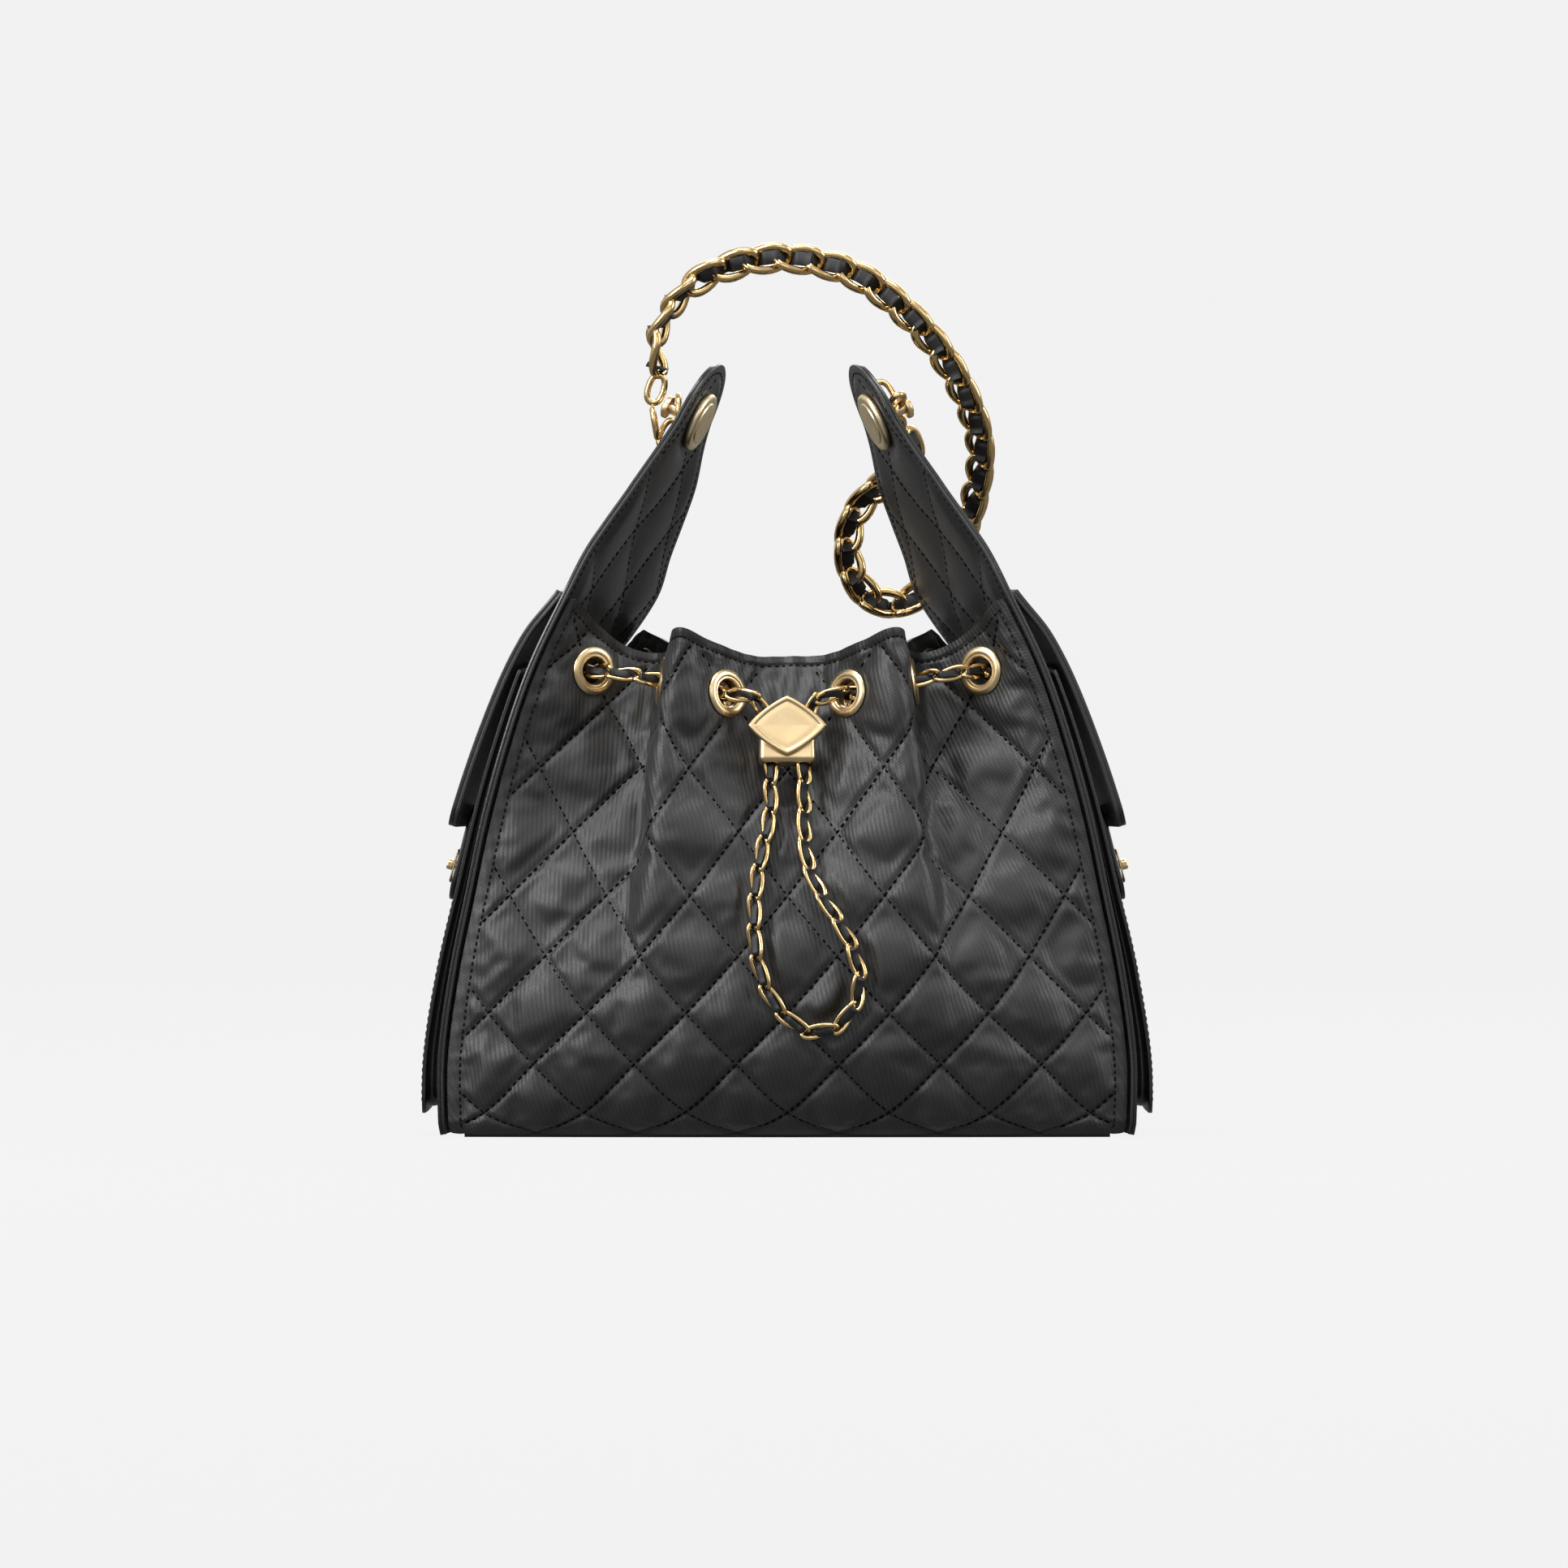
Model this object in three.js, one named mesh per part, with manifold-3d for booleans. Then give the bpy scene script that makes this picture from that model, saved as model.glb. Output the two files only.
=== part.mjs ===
// A bucket bag: quilted front and back gathered by a chain drawstring, leather sides that
// rise into two ears, a flap pocket on each side and a woven chain shoulder strap.
// Millimetres. +X to the right, -Y to the front, +Z up, origin under the middle of the base.

import * as THREE from 'three';
import Module from 'manifold-3d';
import { mergeVertices } from 'three/addons/utils/BufferGeometryUtils.js';

const wasm = await Module();
wasm.setup();

// ---- driving dimensions -------------------------------------------------------------

const GAP = 0.3; // between pieces that touch
const PANEL_THICK = 2.2; // quilted front and back
const SIDE_THICK = 2.4; // leather sides
const SEAM_INSET = 4.3; // panel edge in from the middle of the side leather
const PANEL_FOOT = 1; // lower edge of the panels and sides
const EAR_CENTRE = 266; // height of the ear fittings
const EAR_RADIUS = 22.5;
const EAR_TIP = 286;
const EAR_LEAN = Math.atan(0.47); // ears lean towards each other

const GROMMET = { outer: 9, hole: 5, barrel: 5.6, back: 8.6, flange: 1.2, proud: 0.5, rim: 1 };
const GROMMET_PLACES = { // share of the half panel and height, centre outwards
  inner: { share: 0.185, z: 163.5 },
  middle: { share: 0.53, z: 168 },
  outer: { share: 0.83, z: 172 },
};

const POCKET = { foot: 9, mouth: 170, half: 43.5, wall: 1.3 };
const FLAP = { foot: 111, hinge: 200, half: 43.5, thick: 3 };
const TAB = { foot: 85, top: 119, half: 11.5, thick: 2 };
const LOCK = { z: 97, plate: 0.8, post: 1.5, socket: 1.2, slot: [15.4, 8.9], frame: [20, 13],
  knob: [12.5, 4, 2.3] };

const EAR_PIN = { radius: 2, hole: 2.6, reach: 4.4 }; // reach past the middle of the strap ring
const EAR_DISC = { face: 7.6, step: 8.2, rim: 10.4, radius: 10.8, thick: 3, shoulder: 2 };
const EAR_WASHER = { radius: 7, thick: 0.8 };
const EAR_BUTTON = { radius: 4.3, lift: 3.6, wall: 2, cap: 3, socket: 1.1 };

const STRAP_RING = { radius: 4.8, wire: 1.2, out: 6.6 };
const STRAP_RADIUS = 5.5;
const DRAW_RADIUS = 2.8;
const SLIDER = { width: 21, height: 11, depth: 8.4, corner: 2.5, plaque: [29, 23, 2.4], lift: 7.8 };
const SLIDER_SET = { drop: 1.4, inset: 0.4, bore: 0.4 }; // below the strands' top, behind, round them

const BASE = { panel: 2.4, panelInset: 3.4, board: 1.9, boardInset: 5, length: 125 };
const LINING = { floor: 5.2, top: 108, thick: 1, inset: 5.4, slack: 1.4 };

// Side leather, by height: middle of the sheet, its twist in degrees, its half width.
const SIDE_X = track([[0, 126.5], [6, 127.5], [30, 127.5], [60, 122.5], [90, 115], [120, 105.8],
  [150, 93.5], [174, 81.2], [200, 66], [216, 59.3], [228, 53], [240, 46.6], [258, 38.4],
  [EAR_CENTRE, 34.6], [EAR_TIP, 25.4]]);
const SIDE_TWIST = track([[0, 0], [30, 0], [60, 1.2], [90, 3], [120, 6.4], [150, 11.2], [174, 16],
  [200, 20], [240, 20.5], [258, 16], [EAR_CENTRE, 14], [EAR_TIP, 13]]);
const SIDE_HALF = track([[0, 45], [6, 47.5], [30, 48], [120, 47.3], [200, 46.8], [216, 41.5],
  [228, 36.5], [240, 31.5], [258, 24.8], [EAR_CENTRE, EAR_RADIUS]]);

// Half of a panel in plan, from the centre to its side seam: x and distance from the middle
// at the gathered mouth, and the share of the half width where the same points lie lower
// down, where the panel is one plain bulge.
const MOUTH_FRONT = [[0, 27], [10, 28.5], [20.5, 39.5], [31.5, 53], [37, 57], [41, 52],
  [41, 36], [42.5, 22], [46.5, 17], [64, 29.5]];
const MOUTH_BACK = [[0, 19], [8.5, 20.5], [15, 35], [19.5, 50], [24.5, 57], [30, 52],
  [31, 34], [32, 17], [35.5, 11.5], [42, 26]];
const BULGE_SHARES = [0, 0.1, 0.22, 0.36, 0.44, 0.47, 0.49, 0.51, 0.54, 0.78];
const MOUTH_SEAM = { front: 82, back: 50 };
const FRONT_EDGE = track([[0, 177.6], [0.1, 178], [0.25, 183], [0.37, 188], [0.45, 186],
  [0.6, 180], [0.68, 179], [0.8, 184.5], [1, 199.5]]);
const BACK_EDGE = track([[0, 174.5], [0.1, 175], [0.25, 177.5], [0.37, 180], [0.45, 180],
  [0.6, 180], [0.68, 180.5], [0.8, 184], [1, 188]]);
const mouthEdge = (end, share) => (end < 0 ? FRONT_EDGE : BACK_EDGE)(share);
const GATHER = track([[30, 0], [60, 0.06], [90, 0.2], [120, 0.45], [150, 0.75], [172, 0.93],
  [188, 1]]);
const BULGE = track([[0, 4], [6, 9.5], [15, 14.5], [40, 21], [70, 23.5], [110, 24], [200, 20]]);

// Routes of the chains. The right half of the drawstring's run starts in the inner front
// grommet, threads the other two, follows the side leather inside the bag and threads the
// three back grommets to the middle of the back. The loop starts in the same inner grommets.
const RUN_HALF = [[23.7, -40.8, 163.1], [33, -36.4, 164.8], [45, -36.8, 167.8], [59, -38.6, 170.6],
  [72.4, -31.2, 172], [78.6, -18, 171.9], [75.8, 2, 171.6], [66.5, 17.5, 172.4], [53, 26.8, 172.2],
  [46, 36.8, 170.2], [38.2, 40.3, 167.8], [28.6, 36.6, 164.8], [19.4, 37.2, 163.3],
  [10, 41.2, 163.6], [0, 42.4, 163.2]];
const LOOP_ROUTE = [[-22.1, -42.6, 163.5], [-14.5, -47.2, 163.2], [-8.2, -46.7, 158.6],
  [-6, -47.1, 149], [-6, -51.6, 135], [-6, -56.6, 119], [-8.6, -60.8, 108],
  [-11, -64.8, 95], [-12, -68.6, 81], [-10.6, -71.3, 64], [-3.4, -72.3, 48], [10, -71.8, 38.8],
  [21.5, -71.6, 44], [26.6, -71.2, 57], [22.8, -70, 72], [15, -68, 85], [9.2, -65.2, 95],
  [6.2, -61, 107.5], [6, -56.6, 119], [6, -51.6, 135], [6, -47.1, 149], [8.2, -46.7, 158.6],
  [14.5, -47.2, 163.2], [22.1, -42.6, 163.5]];
const STRAND_TOP = LOOP_ROUTE[3];
const STRAND_LOW = LOOP_ROUTE[5];
const STRAP_ROUTE = [[-47, 1.4, 283], [-50, 1.4, 291], [-46.5, 1.4, 303], [-36, 1.4, 316.5],
  [-21, 1.4, 323.4], [-3, 1.4, 326.4], [13.5, 1.4, 324], [27, 1.4, 319.5], [45, 1.5, 305.5],
  [57, 5, 292], [67, 12, 275], [72.8, 23, 257], [71, 34, 239], [65, 46, 221], [54, 52.5, 204],
  [41, 54, 197], [31, 51.5, 199.5], [23, 46, 211.5], [22.8, 43.5, 226], [27.5, 41, 236],
  [34.5, 37.5, 242], [42, 31, 247], [46, 21, 254], [45.5, 12.5, 262]];

// ---- small tools --------------------------------------------------------------------

// A smooth curve of one value through knots [at, value], level past both ends.
function track(knots) {
  const slope = (i) => {
    const before = knots[Math.max(i - 1, 0)];
    const after = knots[Math.min(i + 1, knots.length - 1)];
    return (after[1] - before[1]) / (after[0] - before[0]);
  };
  return (at) => {
    if (at <= knots[0][0]) return knots[0][1];
    if (at >= knots[knots.length - 1][0]) return knots[knots.length - 1][1];
    const i = knots.findIndex((knot) => knot[0] > at) - 1;
    const [[t0, a], [t1, b]] = [knots[i], knots[i + 1]];
    const h = t1 - t0;
    const s = (at - t0) / h;
    const rise = h * slope(i) * s * (1 - s) ** 2 - h * slope(i + 1) * s * s * (1 - s);
    return a + (b - a) * s * s * (3 - 2 * s) + rise;
  };
}

function vec(x, y, z) {
  return new THREE.Vector3(x, y, z);
}

function finish(name, hex, roughness, metalness) {
  const material = new THREE.MeshStandardMaterial({ color: hex, roughness, metalness });
  material.name = name;
  return material;
}

const TWILL = finish('quilted_twill', 0x1b1b1c, 0.55, 0);
const LEATHER = finish('black_leather', 0x0d0d0e, 0.3, 0);
const CLOTH = finish('lining_cloth', 0x17161a, 0.8, 0);
const BOARD = finish('base_board', 0x2a2724, 0.9, 0);
const GOLD = finish('pale_gold', 0xd9b876, 0.28, 1);
const CHAIN = finish('gold_chain', 0xcaa45c, 0.22, 1);

function signedVolume(geometry) {
  const place = geometry.getAttribute('position');
  const index = geometry.getIndex();
  const [a, b, c] = [vec(0, 0, 0), vec(0, 0, 0), vec(0, 0, 0)];
  let sum = 0;
  for (let i = 0; i < index.count; i += 3) {
    a.fromBufferAttribute(place, index.getX(i));
    b.fromBufferAttribute(place, index.getX(i + 1));
    c.fromBufferAttribute(place, index.getX(i + 2));
    sum += a.dot(b.cross(c)) / 6;
  }
  return sum;
}

// Faces pointing out, whichever way round the grid was listed.
function outward(geometry) {
  if (signedVolume(geometry) < 0) {
    const index = geometry.getIndex();
    for (let i = 0; i < index.count; i += 3) {
      const second = index.getX(i + 1);
      index.setX(i + 1, index.getX(i + 2));
      index.setX(i + 2, second);
    }
  }
  return geometry;
}

function meshFrom(points, triangles) {
  const geometry = new THREE.BufferGeometry();
  const places = points.flatMap((p) => [p.x, p.y, p.z]);
  geometry.setAttribute('position', new THREE.Float32BufferAttribute(places, 3));
  geometry.setIndex(triangles);
  return outward(geometry);
}

// The closed slab between two surfaces on one grid, each a function of (i, j).
function slab(columns, rows, near, far) {
  const points = [];
  const triangles = [];
  const at = (layer, i, j) => layer * (columns + 1) * (rows + 1) + j * (columns + 1) + i;
  const quad = (a, b, c, d) => triangles.push(a, b, c, a, c, d);
  for (const surface of [near, far]) {
    for (let j = 0; j <= rows; j += 1) {
      for (let i = 0; i <= columns; i += 1) points.push(surface(i, j));
    }
  }
  for (let j = 0; j < rows; j += 1) {
    for (let i = 0; i < columns; i += 1) {
      quad(at(0, i, j), at(0, i + 1, j), at(0, i + 1, j + 1), at(0, i, j + 1));
      quad(at(1, i, j), at(1, i, j + 1), at(1, i + 1, j + 1), at(1, i + 1, j));
    }
    quad(at(0, 0, j), at(0, 0, j + 1), at(1, 0, j + 1), at(1, 0, j));
    quad(at(0, columns, j), at(1, columns, j), at(1, columns, j + 1), at(0, columns, j + 1));
  }
  for (let i = 0; i < columns; i += 1) {
    quad(at(0, i, 0), at(1, i, 0), at(1, i + 1, 0), at(0, i + 1, 0));
    quad(at(0, i, rows), at(0, i + 1, rows), at(1, i + 1, rows), at(1, i, rows));
  }
  return meshFrom(points, triangles);
}

function clean(geometry) {
  const bare = geometry.clone();
  bare.deleteAttribute('normal');
  bare.deleteAttribute('uv');
  return mergeVertices(bare, 1e-4);
}

function toSolid(geometry) {
  const merged = clean(geometry);
  const mesh = new wasm.Mesh({
    numProp: 3,
    vertProperties: Float32Array.from(merged.getAttribute('position').array),
    triVerts: Uint32Array.from(merged.getIndex().array),
  });
  return new wasm.Manifold(mesh);
}

function toGeometry(solid) {
  const mesh = solid.getMesh();
  const geometry = new THREE.BufferGeometry();
  geometry.setAttribute('position', new THREE.Float32BufferAttribute(mesh.vertProperties, 3));
  geometry.setIndex(Array.from(mesh.triVerts));
  return geometry;
}

// Turned about its own axis, which is then laid along `axis` through `at`.
function turned(profile, sides, at, axis) {
  const lathe = new THREE.LatheGeometry(profile.map(([r, t]) => new THREE.Vector2(r, t)), sides);
  const turn = new THREE.Quaternion().setFromUnitVectors(vec(0, 1, 0), axis);
  lathe.applyQuaternion(turn);
  lathe.translate(at.x, at.y, at.z);
  return outward(clean(lathe));
}

function rod(radius, foot, top, sides, at, axis) {
  return turned([[0, foot], [radius, foot], [radius, top], [0, top]], sides, at, axis);
}

// A block with rounded ends in its own plane: u, v and out are its length, height and depth.
function plate(length, height, depth, radius, at, u, v) {
  const out = u.clone().cross(v);
  const shape = roundedRectangle(length, height, radius);
  const block = new THREE.ExtrudeGeometry(shape, { depth, bevelEnabled: false, curveSegments: 3 });
  return placed(block, at, u, v, out);
}

function placed(geometry, at, u, v, out) {
  geometry.applyMatrix4(new THREE.Matrix4().makeBasis(u, v, out).setPosition(at));
  return outward(clean(geometry));
}

function roundedRectangle(length, height, radius) {
  const path = new THREE.Shape();
  const [x, y] = [length / 2 - radius, height / 2 - radius];
  path.absarc(x, y, radius, 0, Math.PI / 2, false);
  path.absarc(-x, y, radius, Math.PI / 2, Math.PI, false);
  path.absarc(-x, -y, radius, Math.PI, 1.5 * Math.PI, false);
  path.absarc(x, -y, radius, 1.5 * Math.PI, 2 * Math.PI, false);
  return path;
}

function tube(route, radius, sides, steps) {
  const path = new THREE.CatmullRomCurve3(route.map((p) => vec(...p)), false, 'centripetal');
  const section = new THREE.Shape();
  for (let i = 0; i < sides; i += 1) {
    const angle = (2 * Math.PI * i) / sides;
    const [x, y] = [radius * Math.cos(angle), radius * Math.sin(angle)];
    if (i === 0) section.moveTo(x, y);
    else section.lineTo(x, y);
  }
  return outward(clean(new THREE.ExtrudeGeometry(section, { steps, extrudePath: path })));
}

// ---- the bag's surfaces ---------------------------------------------------------------

// Where the side leather is at a height: its middle, the way across it to the back,
// and the way out of the bag. `side` is -1 on the left and 1 on the right.
function sideFrame(side, z) {
  const twist = THREE.MathUtils.degToRad(SIDE_TWIST(z));
  const step = 1;
  const run = (SIDE_X(z + step) - SIDE_X(z - step)) / (2 * step);
  const across = vec(-side * Math.sin(twist), Math.cos(twist), 0);
  const up = vec(side * run, 0, 1).normalize();
  const out = across.clone().cross(up).multiplyScalar(side).normalize();
  return { middle: vec(side * SIDE_X(z), 0, z), across, up, out, half: sideHalf(z) };
}

function sideHalf(z) {
  const above = (z - EAR_CENTRE) / Math.cos(EAR_LEAN);
  if (above <= 0) return SIDE_HALF(z);
  return Math.sqrt(Math.max(EAR_RADIUS ** 2 - above ** 2, 1));
}

// A point off the side leather: `across` from its middle, `off` out of its middle surface.
function sidePoint(side, z, across, off) {
  const frame = sideFrame(side, z);
  return frame.middle.clone().addScaledVector(frame.across, across).addScaledVector(frame.out, off);
}

// A panel's outer face in plan at a height, from the left seam to the right one.
const planCurves = new Map();
function planCurve(end, z) {
  const key = `${end} ${z.toFixed(3)}`;
  if (planCurves.has(key)) return planCurves.get(key);
  const twist = THREE.MathUtils.degToRad(SIDE_TWIST(z));
  const seamX = SIDE_X(z) - end * sideHalf(z) * Math.sin(twist) - SEAM_INSET;
  const seamY = sideHalf(z) * Math.cos(twist);
  const widening = ((seamX + SEAM_INSET) / (end < 0 ? MOUTH_SEAM.front : MOUTH_SEAM.back)) ** 0.7;
  const gather = GATHER(z);
  const half = (end < 0 ? MOUTH_FRONT : MOUTH_BACK).map(([x, y], i) => {
    const share = BULGE_SHARES[i];
    const plainY = seamY + BULGE(z) * (1 - share ** 2);
    return vec(
      (1 - gather) * share * seamX + gather * x * widening,
      end * ((1 - gather) * plainY + gather * y),
      z);
  });
  half.push(vec(seamX, end * seamY, z));
  const other = half.slice(1).reverse().map((p) => vec(-p.x, p.y, p.z));
  const curve = new THREE.CatmullRomCurve3([...other, ...half], false, 'centripetal');
  planCurves.set(key, curve);
  return curve;
}

// The outer face of a quilted panel. `end` is -1 for the front and 1 for the back; share
// runs from -1 at the left seam to 1 at the right one; v from the foot to the mouth edge.
function panelPoint(end, share, v) {
  const h = Math.min(Math.abs(share), 1);
  const z = PANEL_FOOT + v * (mouthEdge(end, h) - PANEL_FOOT);
  const p = planCurve(end, z).getPointAt((1 + h) / 2);
  return vec(Math.sign(share) * p.x, p.y, z);
}

function panelOut(end, share, v) {
  const d = 0.01;
  const across = panelPoint(end, share + d, v).sub(panelPoint(end, share - d, v));
  const up = panelPoint(end, share, Math.min(v + d, 1)).sub(panelPoint(end, share, Math.max(v - d, 0)));
  return across.cross(up).multiplyScalar(-end).normalize();
}

function panelInner(end, share, v, depth) {
  return panelPoint(end, share, v).addScaledVector(panelOut(end, share, v), -depth);
}

function grommetFrame(end, side, place) {
  const share = side * place.share;
  const v = (place.z - PANEL_FOOT) / (mouthEdge(end, place.share) - PANEL_FOOT);
  return { at: panelPoint(end, share, v), out: panelOut(end, share, v) };
}

// ---- body ---------------------------------------------------------------------------

function eachGrommet() {
  const list = [];
  for (const [endName, end] of [['front', -1], ['back', 1]]) {
    for (const [sideName, side] of [['left', -1], ['right', 1]]) {
      for (const [placeName, place] of Object.entries(GROMMET_PLACES)) {
        const name = `grommet_${endName}_${placeName}_${sideName}`;
        list.push({ name, end, ...grommetFrame(end, side, place) });
      }
    }
  }
  return list;
}

function grommetSolid({ at, out }) {
  const { outer, hole, barrel, back, flange, proud, rim } = GROMMET;
  const foot = -PANEL_THICK - proud;
  return turned([[hole, foot - flange], [back, foot - flange], [back, foot], [barrel, foot],
    [barrel, proud], [outer, proud], [outer - rim, proud + flange], [hole, proud + flange],
    [hole, foot - flange]], 10, at, out);
}

// What a grommet takes out of its panel, with the gap all round.
function grommetRoom({ at, out }) {
  const { outer, barrel, back, proud } = GROMMET;
  const reach = 6;
  const top = proud - GAP;
  const foot = -PANEL_THICK - proud + GAP;
  return turned([[0, -reach], [back + GAP, -reach], [back + GAP, foot], [barrel + GAP, foot],
    [barrel + GAP, top], [outer + GAP, top], [outer + GAP, reach], [0, reach]], 10, at, out);
}

function quiltedPanel(end) {
  const columns = 26;
  const rows = 7;
  const spread = (i) => (2 * i) / columns - 1;
  const near = (i, j) => panelPoint(end, spread(i), j / rows);
  const far = (i, j) => panelInner(end, spread(i), j / rows, PANEL_THICK);
  let solid = toSolid(slab(columns, rows, near, far));
  for (const grommet of eachGrommet().filter((g) => g.end === end)) {
    solid = solid.subtract(toSolid(grommetRoom(grommet)));
  }
  return toGeometry(solid);
}

function sideLeather(side) {
  const levels = [PANEL_FOOT, 10, 30, 50, 70, 90, 110, 130, 150, 170, 186, 200, 212, 226, 240, 253,
    EAR_CENTRE, 272, 277, 281, 284, EAR_TIP];
  const columns = 4;
  const layer = (off) => (i, j) => {
    const z = levels[j];
    return sidePoint(side, z, sideHalf(z) * ((2 * i) / columns - 1), off);
  };
  const sheet = slab(columns, levels.length - 1, layer(SIDE_THICK / 2), layer(-SIDE_THICK / 2));
  const frame = sideFrame(side, EAR_CENTRE);
  const hole = rod(EAR_PIN.hole, -6, 6, 12, frame.middle, frame.out);
  return toGeometry(toSolid(sheet).subtract(toSolid(hole)));
}

function baseOutline(inset) {
  const shape = new THREE.Shape();
  const steps = 12;
  for (const end of [-1, 1]) {
    for (let i = 0; i <= steps; i += 1) {
      const share = end * ((2 * i) / steps - 1);
      const p = panelPoint(end, share, 0);
      const x = p.x * (1 - inset / BASE.length);
      const y = p.y - end * inset;
      if (end < 0 && i === 0) shape.moveTo(x, y);
      else shape.lineTo(x, y);
    }
  }
  return shape;
}

function flatSheet(inset, foot, thick) {
  const sheet = new THREE.ExtrudeGeometry(baseOutline(inset), { depth: thick, bevelEnabled: false });
  sheet.translate(0, 0, foot);
  return outward(clean(sheet));
}

// The lining: a plain cup inside the quilted panels, up to its seam under the mouth facing.
function liningBag() {
  const { floor, top, thick, slack } = LINING;
  const heights = [floor, 9, 22, 50, 80, top];
  const half = 7;
  const ring = (z, inset) => {
    const loop = [];
    for (const end of [-1, 1]) {
      for (let i = 0; i <= 2 * half; i += 1) {
        const share = end * (1 - i / half);
        const v = (z - PANEL_FOOT) / (mouthEdge(end, Math.abs(share)) - PANEL_FOOT);
        const p = panelPoint(end, share, v);
        loop.push(vec(p.x * (1 - inset / BASE.length), p.y - end * (inset + slack), z));
      }
    }
    return loop;
  };
  const outer = heights.map((z) => ring(z, LINING.inset));
  const inner = heights.map((z, k) => ring(k === 0 ? z + thick : z, LINING.inset + thick));
  const rings = [...outer, ...inner.reverse()];
  const points = rings.flat();
  const count = rings[0].length;
  const triangles = [];
  for (let k = 0; k < rings.length - 1; k += 1) {
    for (let i = 0; i < count; i += 1) {
      const [a, b] = [k * count + i, k * count + ((i + 1) % count)];
      triangles.push(a, b, b + count, a, b + count, a + count);
    }
  }
  const last = (rings.length - 1) * count;
  points.push(vec(0, 0, floor), vec(0, 0, floor + thick));
  for (let i = 0; i < count; i += 1) {
    const next = (i + 1) % count;
    triangles.push(points.length - 2, next, i);
    triangles.push(points.length - 1, last + i, last + next);
  }
  return meshFrom(points, triangles);
}

// ---- side pockets -------------------------------------------------------------------

// How far the pocket's face and the flap's inner face stand off the side leather:
// at the edges and in the middle, by height.
const POCKET_EDGE = track([[9, 7.1], [60, 6], [110, 5], [170, 5.2]]);
const POCKET_MIDDLE = track([[9, 7.1], [60, 6.8], [97, 6.5], [130, 7.5], [170, 9.4]]);
const FLAP_EDGE = track([[111, 10.4], [162, 8], [176, 7], [184, 6], [194, 3.4], [200, 1.9]]);
const FLAP_MIDDLE = track([[111, 11], [150, 10.6], [170, 10.4], [184, 8], [194, 3.6], [200, 1.9]]);

function domed(edge, middle, z, share) {
  return edge(z) + (middle(z) - edge(z)) * (1 - share ** 2);
}

function pocketSolid(side, half, foot, top, from, inset) {
  const [columns, rows] = [6, 7];
  const place = (i, j) => ({ z: foot + ((top - foot) * j) / rows, share: (2 * i) / columns - 1 });
  const near = (i, j) => {
    const { z, share } = place(i, j);
    return sidePoint(side, z, half * share, from);
  };
  const far = (i, j) => {
    const { z, share } = place(i, j);
    return sidePoint(side, z, half * share, domed(POCKET_EDGE, POCKET_MIDDLE, z, share) - inset);
  };
  return toSolid(slab(columns, rows, near, far));
}

function pocket(side) {
  const { foot, mouth, half, wall } = POCKET;
  const over = 6;
  const body = pocketSolid(side, half, foot, mouth, SIDE_THICK / 2 + GAP, 0);
  const room = pocketSolid(side, half - wall, foot + wall, mouth + over, -SIDE_THICK, wall);
  return toGeometry(body.subtract(room));
}

function flap(side) {
  const [columns, rows] = [6, 7];
  const { foot, hinge, half, thick } = FLAP;
  const level = (j) => foot + (hinge - foot) * (1 - (1 - j / rows) ** 0.8);
  const corner = 5;
  const wide = (j) => (j === 0 ? half - corner : half);
  const layer = (off) => (i, j) => {
    const share = (2 * i) / columns - 1;
    const z = level(j);
    return sidePoint(side, z, wide(j) * share, domed(FLAP_EDGE, FLAP_MIDDLE, z, share) + off);
  };
  return slab(columns, rows, layer(thick), layer(0));
}

function lockFrame(side) {
  const frame = sideFrame(side, LOCK.z);
  const length = frame.across.clone().multiplyScalar(side);
  const up = frame.out.clone().cross(length).normalize();
  return { at: (off) => sidePoint(side, LOCK.z, 0, off), length, up, out: frame.out };
}

// Heights off the side leather of the pocket's plate, the tongue, the rim on it, the knob.
const PLATE_FOOT = POCKET_MIDDLE(LOCK.z) + GAP;
const TAB_FOOT = PLATE_FOOT + LOCK.plate + GAP;
const RIM_FOOT = TAB_FOOT + TAB.thick + GAP;
const KNOB_FOOT = RIM_FOOT + LOCK.plate + GAP;

function flapTab(side) {
  const levels = [TAB.foot, 87, 91, LOCK.z, 104, 109, TAB.top];
  const width = [0.55, 0.85, 1, 1, 1, 1, 1];
  const columns = 6;
  const rest = track([[TAB.foot, TAB_FOOT - 0.3], [91, TAB_FOOT], [104, TAB_FOOT],
    [TAB.top, TAB_FOOT + 0.6]]);
  const layer = (off) => (i, j) => {
    const reach = TAB.half * width[j] * ((2 * i) / columns - 1);
    return sidePoint(side, levels[j], reach, rest(levels[j]) + off);
  };
  const tongue = toSolid(slab(columns, levels.length - 1, layer(TAB.thick), layer(0)));
  return toGeometry(tongue.subtract(lockSlot(side, 2, 12)));
}

function lockSlot(side, foot, deep) {
  const { at, length, up } = lockFrame(side);
  const [long, high] = LOCK.slot;
  return toSolid(plate(long, high, deep, high / 2 - 0.1, at(foot), length, up));
}

function lockPlate(side) {
  const { at, length, up, out } = lockFrame(side);
  const [long, high] = LOCK.slot;
  const face = plate(long - 1, high - 1, LOCK.plate, high / 2 - 0.6, at(PLATE_FOOT), length, up);
  const reach = KNOB_FOOT - PLATE_FOOT + LOCK.socket;
  const post = rod(LOCK.post, 0, reach, 10, at(PLATE_FOOT), out);
  return toGeometry(toSolid(face).add(toSolid(post)));
}

function lockRim(side) {
  const { at, length, up } = lockFrame(side);
  const [long, high] = LOCK.frame;
  const rim = plate(long, high, LOCK.plate, 3, at(RIM_FOOT), length, up);
  return toGeometry(toSolid(rim).subtract(lockSlot(side, RIM_FOOT - 2, 4)));
}

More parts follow.
